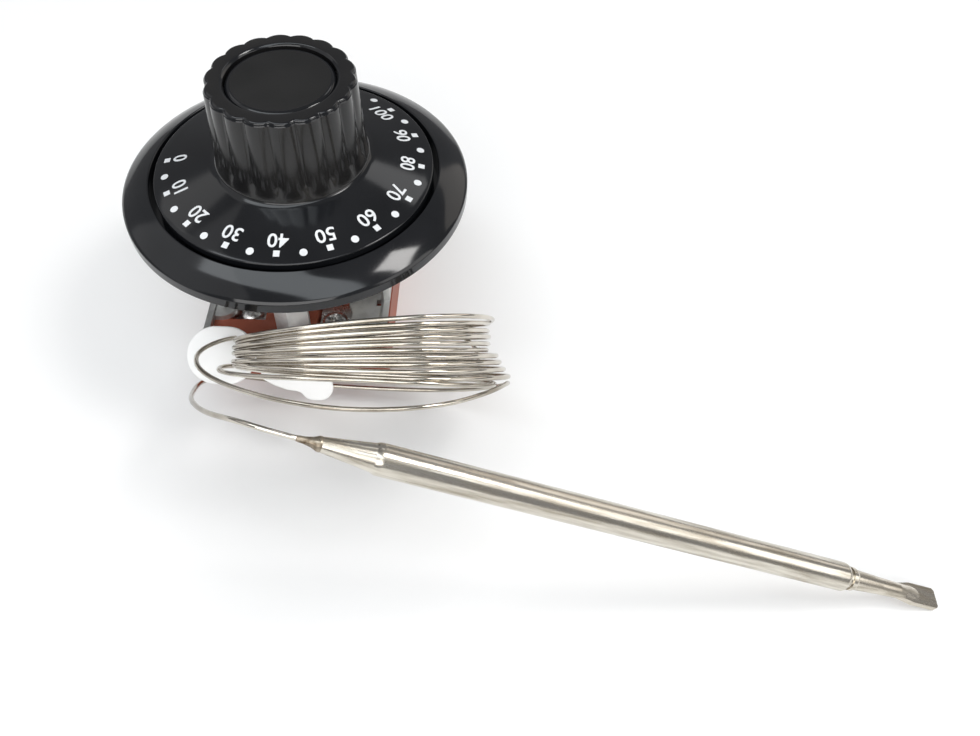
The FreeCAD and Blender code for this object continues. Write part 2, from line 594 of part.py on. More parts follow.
def makeBracket():
    high, plateFoot = "bodyDepth", "bodyDepth - sheet"
    footTop, skirtTop = "baseTop + sheet", "baseTop + skirtOver"
    corner, fold = ("bend", -1), ("bend - sheet", 1)
    frame = folded("bracketFold", (
        ("-frameLeft", "baseTop - skirtDrop"), ("-frameLeft", high + " - bend"), corner,
        ("-frameLeft + bend", high), ("frameRight - bend", high), corner, ("frameRight", high + " - bend"),
        ("frameRight", "baseTop + bend"), corner, ("frameRight - bend", "baseTop"),
        ("frameRight - footReach", "baseTop"), ("frameRight - footReach", footTop),
        ("frameRight - bend", footTop), fold, ("innerRight", "baseTop + bend"),
        ("innerRight", high + " - bend"), fold, ("frameRight - bend", plateFoot),
        ("-frameLeft + bend", plateFoot), fold, ("-innerLeft", high + " - bend"),
        ("-innerLeft", "baseTop - skirtDrop"),
    ), "baseFront", "frameBack")
    ahead, behind = ("-baseFront - 1", "-legHalf"), ("legHalf", "frameBack + 1")
    across, leftSkin = ("-frameLeft - 1", "frameRight + 1"), ("-frameLeft - 1", "-innerLeft + 0.01")
    slotX = "frameRight - footSlotEdge"
    reliefs = [
        block("plateFront", across, ("-baseFront - 1", "-frameFront"), (skirtTop, high + " + 1")),
        block("footFront", ("0", "frameRight + 1"), ("-baseFront - 1", "-frameFront - footSet"),
              ("baseTop - 1", skirtTop + " + 1")),
        block("footBack", ("0", "frameRight + 1"), behind, ("baseTop - 1", high + " - bend")),
        block("footInner", ("0", "frameRight - footNarrow"), ("-loadY + notch * 1.75", "frameBack + 1"),
              ("baseTop - 1", skirtTop + " + 1")),
        rod("footNotch", "notch", ("loadX", "-loadY", "baseTop - 1"), "sheet + 2"),
        block("footSlot", (slotX + " - footSlotHalf", slotX + " + footSlotHalf"),
              ("-footSlotY - footSlotLong", "-footSlotY + footSlotLong"), ("baseTop - 1", footTop + " + 1")),
        block("leftFrontRelief", leftSkin, ahead, (skirtTop, high + " - bend")),
        block("leftBackRelief", leftSkin, behind, (skirtTop, high + " - bend")),
        block("rightFrontRelief", ("innerRight - 0.01", "frameRight + 1"), ahead,
              ("baseTop + bend", high + " - bend")),
        rod("bushHole", "bushRadius + 0.01", ("0", "0", high + " - sheet - 1"), "sheet + 2"),
    ]
    reliefs += [rod("panelScrewHole%d" % side, "panelScrewShank + 0.05",
                    ("screwSpan / 2 * %d" % side, "0", high + " - sheet - 1"), "sheet + 2") for side in (-1, 1)]
    legs = cut("bracketLegs", frame, *reliefs)

    def tab(name, middle):
        arm = block(name + "Arm", ("-innerLeft", "-innerLeft + tabReach - tabHalf"),
                    (middle + " - tabHalf", middle + " + tabHalf"), ("baseTop", "baseTop + sheet"))
        end = rod(name + "End", "tabHalf", ("-innerLeft + tabReach - tabHalf", middle, "baseTop"), "sheet")
        end.Angle = 180
        end.Placement.Rotation = FreeCAD.Rotation(Vector(0, 0, 1), -90)
        return joined(name, arm, end)

    post = pressed("frontPost", (
        ("-postLeft", "-frameFront + postThick"), ("-postLeft", "-frameFront"),
        ("-postFold", "-frameFront - postProud"), ("postRight", "-frameFront"),
        ("postRight", "-frameFront + postThick"), ("-postFold", "-frameFront - postProud + postThick"),
    ), "baseTop", high + " - sheet * 0.5")
    tongue = cut("backTongue",
                 block("tongueStrip", ("-tongueHalf", "tongueHalf"), ("tongueY", "tongueY + sheet"),
                       ("nutFoot - tongueDrop", high + " - sheet * 0.5")),
                 block("tongueSlot", ("-guideHalf", "guideHalf"), ("tongueY - 1", "tongueY + sheet + 1"),
                       ("nutFoot - tongueDrop - 1", "nutFoot + nutThick + nutRoom * 0.5")))
    level = "leverTop - leverThick / 2"
    ears = []
    for side, name in ((-1, "frontEar"), (1, "backEar")):
        near = "earInner" if side > 0 else "-earInner - earThick"
        plate = block(name + "Plate", ("-innerLeft - 0.1", "-pivotX"), (near, near + " + earThick"),
                      (level + " - earRadius", level + " + earRadius"))
        nose = rod(name + "Nose", "earRadius", ("-pivotX", near, level), "earThick", "y")
        ears.append(joined(name, plate, nose))
    tabs = [tab("frontTab", "-tabFrontY"), tab("backTab", "rivetBackY")]
    whole = joined("bracketWhole", legs, post, tongue, *tabs, *ears)
    holes = [rod("earHole", "pinRadius + 0.02", ("-pivotX", "-earInner - earThick - 1", level),
                 "(earInner + earThick + 1) * 2", "y")]
    holes += [rod("bracketRivetHole%d" % index, "rivetShank + 0.1", (x, y, "baseTop - 1"), "sheet + 2")
              for index, (x, y) in enumerate(rivetPlaces())]
    node("mounting_bracket", cut("bracket", whole, *holes))

    screws = []
    for index, side in enumerate((-1, 1)):
        x = "screwSpan / 2 * %d" % side
        head = "bodyDepth + bezelWeb"
        body = joined("panelScrewBody%d" % index,
                      rod("panelScrewCap%d" % index, "panelScrewHead", (x, "0", head), "panelScrewTall"),
                      rod("panelScrewRod%d" % index, "panelScrewShank", (x, "0", head + " - panelScrewLong"),
                          "panelScrewLong + panelScrewTall * 0.5"))
        slot = (head + " + panelScrewTall - crossDeep", head + " + panelScrewTall + 1")
        screws.append(cut("panelScrew%d" % index, body, crossSlot("panelCross%d" % index, x, "0", slot)))
    node("panel_screws", group("panelScrews", *screws))

    rivets = [turned("rivet%d" % index, (
        ("0", "0.2"), ("rivetShank + 0.9", "0.2"), ("rivetShank", "1.2"), ("rivetShank", "baseTop + sheet"),
        ("rivetHead", "baseTop + sheet"),
        ("(rivetHead * rivetHead + rivetTall * rivetTall) / (2 * rivetTall)", 1),
        ("0", "baseTop + sheet + rivetTall"),
    )) for index in range(3)]
    for rivet, (x, y) in zip(rivets, rivetPlaces()):
        rivet.setExpression("Placement.Base.x", cell(x))
        rivet.setExpression("Placement.Base.y", cell(y))
    node("base_rivets", group("rivetGroup", *rivets))


def rivetPlaces():
    return (("-rivetLeft", "rivetBackY"), ("rivetRight", "rivetBackY"), ("rivetRight", "-rivetFrontY"))


# Moulded base with the contact chamber, terminal recesses and the capillary's channel

def makeBase():
    x, y = ("-innerLeft", "frameRight"), ("-baseFront", "baseBack")
    shell = roundBox("baseShell", x, y, ("coverThick", "baseTop"), "baseCorner")
    chamber = roundBox("chamber", ("-innerLeft + baseWall", "frameRight - baseWall"),
                       ("-chamberFront", "baseBack - baseWall"), ("coverThick - 1", "cavityTop"), "baseCorner")
    rooms = []
    for name, screwX, screwY in (("common", "-commonX", "-commonY"), ("load", "loadX", "-loadY")):
        half = "(terminalHalf + terminalGap)"
        back = "-commonY + 5.2" if name == "common" else "-chamberFront + 1.2"
        rooms.append(block(name + "Room", (screwX + " - " + half, screwX + " + " + half),
                           (screwY + " - " + half, back), ("cavityTop", "baseTop + 1")))
        rooms.append(rod(name + "Thread", "screwShank + 0.02", (screwX, screwY, "coverThick + 1"), "cavityTop"))
    half = "grooveWide / 2"
    turn, wide, tight = "rootBend", "rootBend + " + half, "rootBend - " + half
    channel = pressed("channel", (
        ("glandX - 2", "-glandY - " + half), ("rootX - " + turn, "-glandY - " + half), (tight, -1),
        ("rootX - " + half, "-glandY - " + turn), ("rootX - " + half, "-rootExitY + " + turn), (wide, 1),
        ("rootX + " + turn, "-rootExitY - " + half), ("frameRight + 1", "-rootExitY - " + half),
        ("frameRight + 1", "-rootExitY + " + half), ("rootX + " + turn, "-rootExitY + " + half), (tight, -1),
        ("rootX + " + half, "-rootExitY + " + turn), ("rootX + " + half, "-glandY - " + turn), (wide, 1),
        ("rootX - " + turn, "-glandY + " + half), ("glandX - 2", "-glandY + " + half),
    ), "baseTop - grooveDeep", "baseTop + 1")
    strikerHole = rod("strikerHole", "strikerRadius + 0.1", ("strikerX", "0", "cavityTop - 1"), "baseRoof + 2")
    rivetHoles = [rod("baseRivetHole%d" % index, "rivetShank + 0.1", (px, py, "0"), "baseTop + 1")
                  for index, (px, py) in enumerate(rivetPlaces())]
    glandSeat = rod("glandSeat", "glandRadius + 0.02", ("glandX", "-glandY", "rootZ - 0.9"), "grooveDeep + 1")
    hollowed = cut("baseHollow", shell, chamber, channel, glandSeat, strikerHole, *rooms)
    posts = [rod("rivetPost%d" % index, "rivetWall", (px, py, "coverThick"), "cavityTop - coverThick + 0.5")
             for index, (px, py) in enumerate(rivetPlaces())]
    node("switch_base", cut("base", joined("basePosts", hollowed, *posts), *rivetHoles))

    plate = roundBox("coverPlate", x, y, ("0", "coverThick"), "baseCorner")
    sinks = [turned("coverSink%d" % index, (
        ("0", "-0.1"), ("rivetShank + 1", "-0.1"), ("rivetShank + 1", "0.2"), ("rivetShank + 0.05", "1.25"),
        ("rivetShank + 0.05", "coverThick + 1"), ("0", "coverThick + 1"),
    )) for index in range(3)]
    for sink, (px, py) in zip(sinks, rivetPlaces()):
        sink.setExpression("Placement.Base.x", cell(px))
        sink.setExpression("Placement.Base.y", cell(py))
    node("base_cover", cut("cover", plate, *sinks))


# Terminals: folded strips from a screw down to the contacts

def makeTerminals():
    thick, half, top = "terminalThick", "terminalHalf", "cavityTop + terminalThick"
    left, right = "-commonX - " + half, "-commonX + " + half
    drop = "-commonY + 4.6"
    common = joined("commonStrip",
                    block("commonPlate", (left, right), ("-commonY - " + half, drop), ("cavityTop", top)),
                    block("commonLeg", (left, right), (drop + " - " + thick, drop), ("commonStripZ", top)),
                    block("commonRun", (left, right), (drop + " - " + thick, "bladeHalf + 1"),
                          ("commonStripZ", "commonStripZ + " + thick)),
                    block("commonArm", (left, "-bladeFrom + 2"), ("-bladeHalf - 1", "bladeHalf + 1"),
                          ("commonStripZ", "commonStripZ + " + thick)))
    node("common_terminal", cut("commonTerminal", common,
                                rod("commonHole", "screwShank + 0.02", ("-commonX", "-commonY", "cavityTop - 1"), "3")))
    left, right = "loadX - " + half, "loadX + " + half
    drop = "-chamberFront + 1"
    load = joined("loadStrip",
                  block("loadPlate", (left, right), ("-loadY - " + half, drop), ("cavityTop", top)),
                  block("loadLeg", (left, right), (drop + " - " + thick, drop), ("loadStripZ", top)),
                  block("loadRun", (left, right), (drop + " - " + thick, "bladeHalf"),
                        ("loadStripZ", "loadStripZ + " + thick)),
                  block("loadArm", (left, "contactX + 1.8"), ("-bladeHalf", "bladeHalf"),
                        ("loadStripZ", "loadStripZ + " + thick)))
    node("load_terminal", cut("loadTerminal", load,
                              rod("loadHole", "screwShank + 0.02", ("loadX", "-loadY", "cavityTop - 1"), "3"),
                              rod("fixedHole", "1.02", ("contactX", "0", "loadStripZ - 1"), "3")))
    screws = []
    dome = "(screwHeadTall * 0.55)"
    for index, (x, y) in enumerate((("-commonX", "-commonY"), ("loadX", "-loadY"))):
        head = turned("terminalHead%d" % index, (
            ("0", "0"), ("screwHead", "0"), ("screwHead", "screwHeadTall * 0.45"),
            ("(screwHead * screwHead + %s * %s) / (2 * %s)" % (dome, dome, dome), 1), ("0", "screwHeadTall"),
        ))
        for letter, place in zip("xyz", (x, y, top)):
            head.setExpression("Placement.Base." + letter, cell(place))
        shank = rod("terminalShank%d" % index, "screwShank", (x, y, "coverThick + 1.5"), top + " - coverThick - 1.4")
        slot = crossSlot("terminalCross%d" % index, x, y,
                         (top + " + screwHeadTall - crossDeep", top + " + screwHeadTall + 1"))
        screws.append(cut("terminalScrew%d" % index, joined("terminalScrewBody%d" % index, head, shank), slot))
    node("terminal_screws", group("terminalScrews", *screws))


# Diaphragm capsule, its gland and the push pin

def makeCapsule():
    cup = turned("capsuleCup", lifted((
        ("0", "0"), ("capsuleRadius - 1.6", "0"), ("1.2", 1), ("capsuleRadius - 0.6", "1.0"),
        ("capsuleRadius - 0.6", "capsuleTall - capsuleWall"), ("capsuleRadius", "capsuleTall - capsuleWall"),
        ("capsuleRadius", "capsuleTall"), ("capsuleRadius - 0.6 - capsuleWall", "capsuleTall"),
        ("capsuleRadius - 0.6 - capsuleWall", "capsuleWall + 0.6"), ("0", "capsuleWall + 0.6"),
    ), "baseTop"))
    node("capsule_cup", cup)
    # the flexing disc: a flat rim, three ripples and a raised centre pad
    rim = "baseTop + capsuleTall"
    steps = ((1.0, 0.0), (0.86, 0.0), (0.76, 0.45), (0.66, 0.0), (0.56, 0.45), (0.46, 0.0), (0.36, 0.55))
    upper = [("capsuleRadius * %s" % share, "%s + discThick + %s" % (rim, rise)) for share, rise in steps]
    lower = [("capsuleRadius * %s" % share, "%s + %s" % (rim, rise)) for share, rise in steps]
    pad = [("2.4", rim + " + discRise + discThick"), ("0", rim + " + discRise + discThick"),
           ("0", rim + " + discRise - 0.2"), ("2.2", rim + " + discRise - 0.2")]
    node("diaphragm", turned("diaphragmDisc", upper + pad + lower[::-1]))
    padTop = rim + " + discRise + discThick"
    pin = turned("pushPinTurned", (
        ("0", padTop + " + pushGap"), ("pushRadius", padTop + " + pushGap"),
        ("pushRadius", "leverTop - leverThick - pushGap - 0.3"),
        ("pushRadius - 0.3", "leverTop - leverThick - pushGap"), ("0", "leverTop - leverThick - pushGap"),
    ))
    node("push_pin", pin)
    gland = rod("glandBoss", "glandRadius", ("glandX", "-glandY", "rootZ - 0.8"), "baseTop - rootZ + 0.8")
    node("capsule_gland", gland)


# Lever with its rolled eye, pin and calibration screw

def makeLever():
    low, level = "leverTop - leverThick", "leverTop - leverThick / 2"
    strip = pressed("leverStrip", (
        ("-pivotX", "-leverHalf"), ("leverEnd - 10", "-leverHalf"), ("leverEnd - 6", "-leverTip"),
        ("leverEnd - 1", "-leverTip"), ("1", 1), ("leverEnd", "-leverTip + 1"),
        ("leverEnd", "leverTip - 1"), ("1", 1), ("leverEnd - 1", "leverTip"),
        ("leverEnd - 6", "leverTip"), ("leverEnd - 10", "leverHalf"), ("-pivotX", "leverHalf"),
    ), low, "leverTop")
    eye = rod("leverEye", "eyeRadius", ("-pivotX", "-leverHalf", level), "leverHalf * 2", "y")
    collar = rod("leverCollar", "trimBoss", ("strikerX", "0", low), "leverThick + 1.4")
    eyeHole = rod("leverEyeHole", "pinRadius + running", ("-pivotX", "-leverHalf - 1", level), "leverHalf * 2 + 2", "y")
    thread = rod("leverThread", "trimRadius + 0.02", ("strikerX", "0", low + " - 1"), "leverThick + 4")
    node("pressure_lever", cut("lever", joined("leverBlank", strip, eye, collar), eyeHole, thread))
    node("lever_pin", rod("leverPin", "pinRadius", ("-pivotX", "-earInner - earThick - 0.5", level),
                          "(earInner + earThick + 0.5) * 2", "y"))
    trimFoot, trimTop = "leverTop - trimReach", "leverTop + trimReach"
    trim = turned("trimTurned", (
        ("0", trimFoot), ("trimRadius - 0.6", trimFoot), ("trimRadius", trimFoot + " + 0.6"),
        ("trimRadius", trimTop), ("0", trimTop),
    ))
    trim.setExpression("Placement.Base.x", cell("strikerX"))
    slot = block("trimSlot", ("strikerX - 2", "strikerX + 2"), ("-0.3", "0.3"), (trimTop + " - 0.9", trimTop + " + 1"))
    node("calibration_screw", cut("trimScrew", trim, slot))
    striker = turned("strikerTurned", (
        ("0", "bladeTop + pushGap"), ("strikerRadius - 0.4", "bladeTop + pushGap"),
        ("strikerRadius", "bladeTop + pushGap + 0.4"),
        ("strikerRadius", trimFoot + " - pushGap"), ("0", trimFoot + " - pushGap"),
    ))
    striker.setExpression("Placement.Base.x", cell("strikerX"))
    node("striker_pin", striker)


# Setting nut and range spring

def makeNut():
    high = "nutFoot + nutThick"
    plate = pressed("nutPlate", (
        ("-nutHalf + 2", "-nutHalf + 1"), ("nutHalf - 2", "-nutHalf + 1"), ("nutHalf", "-nutHalf + 3"),
        ("nutHalf", "nutHalf - 3"), ("nutHalf - 2", "nutHalf - 1"), ("-nutHalf + 2", "nutHalf - 1"),
        ("-nutHalf", "nutHalf - 3"), ("-nutHalf", "-nutHalf + 3"),
    ), "nutFoot", high)
    finger = block("nutFinger", ("-guideHalf + 0.1", "guideHalf - 0.1"), ("nutHalf - 2", "tongueY + sheet + 0.5"),
                   ("nutFoot", high))
    boss = rod("nutBoss", "seatBoss", ("0", "0", "nutFoot - seatTall"), "seatTall + 0.5")
    bore = rod("nutBore", "shaft / 2 + running", ("0", "0", "nutFoot - seatTall - 1"), "nutThick + seatTall + 2")
    node("setting_nut", cut("nut", joined("nutBlank", plate, finger, boss), bore))

    # the spring's wire follows a helix between the lever and the nut
    helix = document.addObject("Part::Helix", "springHelix")
    helix.setExpression("Radius", cell("springMean"))
    helix.setExpression("Height", cell("springRoom - springWire - pushGap * 2"))
    helix.setExpression("Pitch", cell("(springRoom - springWire - pushGap * 2) / springTurns"))
    section = document.addObject("Part::Circle", "springSection")
    section.setExpression("Radius", cell("springWire / 2"))
    section.Placement = FreeCAD.Placement(Vector(value("springMean"), 0, 0), FreeCAD.Rotation(Vector(1, 0, 0), 90))
    coil = document.addObject("Part::Sweep", "springSweep")
    coil.Sections = [section]
    coil.Spine = (helix, [])
    coil.Solid = True
    coil.Frenet = True
    coil.setExpression("Placement.Base.z", cell("leverTop + springWire / 2 + pushGap"))
    node("range_spring", coil)


# Contacts in the chamber

def makeContacts():
    low = "bladeTop - bladeThick"
    strip = pressed("bladeStrip", (
        ("-bladeFrom", "-bladeHalf"), ("bladeEnd - 14", "-bladeHalf"), ("bladeEnd - 11", "-bladeHalf + 0.6"),
        ("bladeEnd", "-bladeHalf + 0.6"), ("bladeEnd", "bladeHalf - 0.6"), ("bladeEnd - 11", "bladeHalf - 0.6"),
        ("bladeEnd - 14", "bladeHalf"), ("-bladeFrom", "bladeHalf"),
    ), low, "bladeTop")
    window = block("bladeWindow", ("2", "strikerX - 4"), ("-0.6", "0.6"), (low + " - 1", "bladeTop + 1"))
    hole = rod("bladeHole", "0.97", ("contactX", "0", low + " - 1"), "3")
    node("contact_blade", cut("blade", strip, window, hole))
    moving = turned("movingTurned", (
        ("0", "fixedTop + pushGap"), ("contactRadius - 0.3", "fixedTop + pushGap"),
        ("contactRadius", "fixedTop + pushGap + 0.3"),
        ("contactRadius", low), ("0.95", low), ("0.95", "bladeTop"), ("1.5", "bladeTop"), ("1.2", "bladeTop + 0.4"),
        ("0", "bladeTop + 0.4"),
    ))
    moving.setExpression("Placement.Base.x", cell("contactX"))
    node("moving_contact", moving)
    fixed = turned("fixedTurned", (
        ("0", "loadStripZ - 0.7"), ("1.5", "loadStripZ - 0.7"), ("1.5", "loadStripZ"), ("1.0", "loadStripZ"),
        ("1.0", "loadStripZ + terminalThick"), ("contactRadius", "loadStripZ + terminalThick"),
        ("contactRadius", "fixedTop - 0.2"), ("contactRadius - 0.3", "fixedTop"), ("0", "fixedTop"),
    ))
    fixed.setExpression("Placement.Base.x", cell("contactX"))
    node("fixed_contact", fixed)


# Capillary: a tube of straight runs and tangent arcs, as large as the two runs allow

def bentPath(points, radii=None):
    edges = []
    start = points[0]
    bends = []
    for index in range(1, len(points) - 1):
        before, here, after = points[index - 1], points[index], points[index + 1]
        into, out = here - before, after - here
        shorter = min(into.Length, out.Length)
        into.normalize()
        out.normalize()
        turn = into.getAngle(out)
        radius = radii[index - 1] if radii else 0.45 * shorter / math.tan(turn / 2)
        trim = radius * math.tan(turn / 2)
        first, last = here - into * trim, here + out * trim
        inward = (out - into).normalize()
        middle = here + inward * (radius / math.cos(turn / 2) - radius)
        edges.append(Part.LineSegment(start, first).toShape())
        edges.append(Part.Arc(first, middle, last).toShape())
        bends.append(radius)
        start = last
    edges.append(Part.LineSegment(start, points[-1]).toShape())
    return Part.Wire(edges), bends


def tube(name, points, radii=None):
    path, bends = bentPath(points, radii)
    radius = value("capillary / 2")
    along = (points[1] - points[0]).normalize()
    mouth = Part.Wire([Part.Circle(points[0], along, radius).toShape()])
    solid = path.makePipeShell([mouth], True, False)
    expected = math.pi * radius ** 2 * path.Length
    print("%s: length %.1f, volume %.2f of %.2f, bend radii %s"
          % (name, path.Length, solid.Volume, expected, " ".join("%.1f" % bend for bend in bends)))
    feature = document.addObject("Part::Feature", name)
    feature.Shape = solid
    feature.Placement = FreeCAD.Placement()
    return feature


# Points of the capillary's route, chosen by hand. The lead runs from the base to the coil,
# and the tail runs from the coil round one loose loop to the bulb.
LEAD = ((27.6, -17.5, 11.3), (36.4, -17.9, 11.2), (41.6, -20.9, 11.1), (43.9, -26.2, 11.1),
        (41.6, -31.0, 11.0), (36.6, -32.9, 10.7), (31.2, -32.0, 9.9))
TAIL = ((1.8, -28.1, 17.0), (-7.4, -30.0, 21.5), (-12.0, -36.5, 28.1), (-15.6, -44.6, 32.5),
        (-11.7, -52.7, 36.0), (1.9, -62.1, 40.2), (19.7, -65.8, 42.3), (36.8, -63.9, 41.3),
        (46.8, -55.4, 35.3), (50.9, -44.2, 26.4), (49.1, -35.9, 15.2), (38.0, -33.1, 7.1),
        (18.5, -31.2, 4.7), (-2.2, -30.3, 5.5), (-16.0, -31.5, 8.4), (-20.7, -39.1, 15.1),
        (-19.6, -48.8, 23.9), (-13.9, -61.5, 38.1), (-6.7, -71.5, 49.3), (1.9, -79.0, 58.3),
        (9.0, -81.6, 58.5), (13.6, -81.6, 56.5))
BULB_TIP = (143.4, -80.2, 0.6)


def makeCapillary():
    z = value("rootZ")
    gland = Vector(value("glandX + glandRadius"), -value("glandY"), z)
    corner = Vector(value("rootX"), -value("glandY"), z)
    turn = Vector(value("rootX"), -value("rootExitY"), z)
    out = Vector(value("frameRight"), -value("rootExitY"), z)
    bend = value("rootBend")
    node("capillary_root", tube("rootTube", (gland, corner, turn, out), (bend, bend)))
    node("capillary_lead", tube("leadTube", (out,) + tuple(Vector(*point) for point in LEAD)))
    node("capillary_tail", tube("tailTube", tuple(Vector(*point) for point in TAIL)))


# Coil: one ring round all the turns, taller at its loose end, leaning on the base's front edge

def inCoilPlane(item):
    item.Placement.Rotation = FreeCAD.Rotation(Vector(1, 0, 0), 0)
    item.setExpression("Placement.Rotation.Angle", cell("-coilTilt"))
    for letter, place in (("x", "coilX"), ("y", "coilY"), ("z", "coilZ")):
        item.setExpression("Placement.Base." + letter, cell(place))
    return item


def makeCoil():
    straight = "coilHalf - coilRadius"

    def track(name, radius):
        middle = block(name + "Middle", ("-(%s)" % straight, straight), ("-(%s)" % radius, radius),
                       ("-coilTallRight", "coilTallRight"))
        ends = [rod(name + "End%d" % side, radius, ("(%s) * %d" % (straight, side), "0", "-coilTallRight"),
                    "coilTallRight * 2") for side in (-1, 1)]
        return joined(name, middle, *ends)

    ring = cut("coilTrack", track("coilOuter", "coilRadius"), track("coilInner", "coilRadius - coilRing"))
    # the winding's height, seen from its long side: low at the neat end and tall at the loose end
    slab = folded("coilSlab", (
        ("-coilHalf - 1", "coilMidLeft - coilTallLeft / 2"), ("coilHalf + 1", "coilMidRight - coilTallRight / 2"),
        ("coilHalf + 1", "coilMidRight + coilTallRight / 2"), ("-coilHalf - 1", "coilMidLeft + coilTallLeft / 2"),
    ), "coilRadius + 1", "coilRadius + 1")
    node("capillary_coil", inCoilPlane(kept("coil", ring, slab)))

    # strap: a band round the winding and the tail, a long round head and a tail that widens to a round end
    low = "coilMidLeft - coilTallLeft / 2 - tieRoom"
    high = "coilMidLeft + coilTallLeft / 2 + tieRoom"
    left, right = "-coilHalf - tieLoop", "-coilHalf + coilRing + 2.6"
    near, far = "tieNear", "tieNear + tieWide"
    sheetFrom = far + " - tieWall"
    band = block("tieBand", (left + " - tieWall", right + " + tieWall"), (near, far),
                 (low + " - tieWall", high + " + tieWall"))
    hole = block("tieHole", (left, right), (near + " - 1", far + " + 1"), (low, high))
    headMiddle = block("tieHeadMiddle", ("-tieHeadX - tieHeadLong", "-tieHeadX + tieHeadLong"), (sheetFrom, far),
                       ("-tieHeadDrop - tieHeadTall", "-tieHeadDrop + tieHeadTall"))
    headEnds = [rod("tieHeadEnd%d" % side, "tieHeadTall",
                    ("-tieHeadX + tieHeadLong * %d" % side, sheetFrom, "-tieHeadDrop"), "tieWall", "y")
                for side in (-1, 1)]
    strip = folded("tieTailStrip", (
        (right + " - 1", low + " + 1.8"), (right, low), (right + " + 5.6", "-tieTailDrop - tieTailHalf * 0.3"),
        ("-tieTailX - tieTailHalf", "-tieTailDrop - tieTailHalf * 0.35"),
        ("-tieTailX", "-tieTailDrop + tieTailHalf"),
    ), "-(%s)" % sheetFrom, far)
    end = rod("tieTailEnd", "tieTailHalf", ("-tieTailX", sheetFrom, "-tieTailDrop"), "tieWall", "y")
    blank = joined("tieBlank", band, headMiddle, *headEnds, strip, end)
    node("coil_tie", inCoilPlane(cut("tie", blank, hole)))


# Bulb: a drawn tube with a taper, brazed to the capillary, and a crimped filling tube

def makeBulb():
    foot = Vector(*TAIL[-1])
    along = Vector(*BULB_TIP) - foot
    placement = FreeCAD.Placement(foot, FreeCAD.Rotation(Vector(0, 0, 1), along))
    start, full = "brazeLong", "brazeLong + bulbTaper"
    end = full + " + bulbStraight"
    braze = turned("brazeCone", (
        ("0", "0"), ("capillary / 2 + 0.05", "0"), ("capillary / 2 + 0.2", start + " * 0.4"),
        ("bulbMouth", start), ("0", start),
    ))
    bulb = turned("bulbTube", (
        ("0", start), ("bulbMouth", start), ("bulbRadius - shoulderIn", full + " - shoulder"),
        ("(shoulder * shoulder + shoulderIn * shoulderIn) / (2 * shoulderIn)", 1), ("bulbRadius", full),
        ("bulbRadius", end + " - 1.2"), ("1.2", 1), ("bulbRadius - 0.7", end),
        ("bulbGroove", end), ("bulbGroove", end + " + grooveLong"), ("0", end + " + grooveLong"),
    ))
    collar, crimpFrom = end + " + grooveLong", end + " + stemLong"
    tail = crimpFrom + " + crimpLong"
    stem = turned("stemTube", (
        ("0", collar), ("stemRadius", collar), ("stemRadius", collar + " + 0.9"),
        ("stemRadius - 0.3", collar + " + 1.5"),
        ("stemTip + 0.15", crimpFrom + " - 5"), ("stemTip", crimpFrom), ("0", crimpFrom),
    ))
    # the pressed end: the round tube runs out in an oval, with a flat plate that widens out of it
    plate = sidePlate("crimpPlate", (
        ("-stemTip + 0.1", crimpFrom), ("stemTip - 0.1", crimpFrom), ("crimpHalf", crimpFrom + " + crimpBlend"),
        ("crimpHalf", tail + " - 0.5"), ("crimpHalf - 0.5", tail), ("-crimpHalf + 0.5", tail),
        ("-crimpHalf", tail + " - 0.5"), ("-crimpHalf", crimpFrom + " + crimpBlend"),
    ), "-crimpThick / 2", "crimpThick / 2")
    blend = document.addObject("Part::Loft", "crimpBlendLoft")
    roundEnd = document.addObject("Part::Circle", "crimpRound")
    roundEnd.setExpression("Radius", cell("stemTip"))
    roundEnd.setExpression("Placement.Base.z", cell(crimpFrom))
    flatEnd = document.addObject("Part::Ellipse", "crimpOval")
    flatEnd.setExpression("MajorRadius", cell("crimpHalf - 0.1"))
    flatEnd.setExpression("MinorRadius", cell("crimpThick / 2 - 0.1"))
    flatEnd.Placement.Rotation = FreeCAD.Rotation(Vector(0, 0, 1), 90)
    flatEnd.setExpression("Placement.Base.z", cell(crimpFrom + " + crimpBlend * 1.8"))
    blend.Sections = [roundEnd, flatEnd]
    blend.Solid = True
    tip = joined("stemWhole", stem, plate, blend)
    for name, item in (("bulb_braze", braze), ("sensing_bulb", bulb), ("filling_tube", tip)):
        item.Placement = placement
        node(name, item)


makeBezel()
makeKnob()
makeSpindle()
makeBracket()
makeBase()
makeTerminals()
makeCapsule()
makeLever()
makeNut()
makeContacts()
makeCapillary()
makeCoil()
makeBulb()
document.recompute()

# Every object has to be sound before anything is written
faults = [item.Name for item in document.Objects if "Invalid" in item.State or "Error" in item.State]
for name, item in nodes.items():
    if item.Shape.isNull() or not item.Shape.isValid() or not item.Shape.Solids:
        faults.append(name)
if faults:
    raise RuntimeError("objects that failed: " + ", ".join(faults))

os.makedirs("parts", exist_ok=True)
for name, item in nodes.items():
    item.Shape.exportStep("parts/%s.step" % name)
    extent = item.Shape.BoundBox
    print("%-18s %d solid(s) %10.1f mm3  x %.1f..%.1f  y %.1f..%.1f  z %.1f..%.1f" % (
        name, len(item.Shape.Solids), item.Shape.Volume,
        extent.XMin, extent.XMax, extent.YMin, extent.YMax, extent.ZMin, extent.ZMax))
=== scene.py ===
import math
import random

import bpy
from mathutils import Matrix, Vector


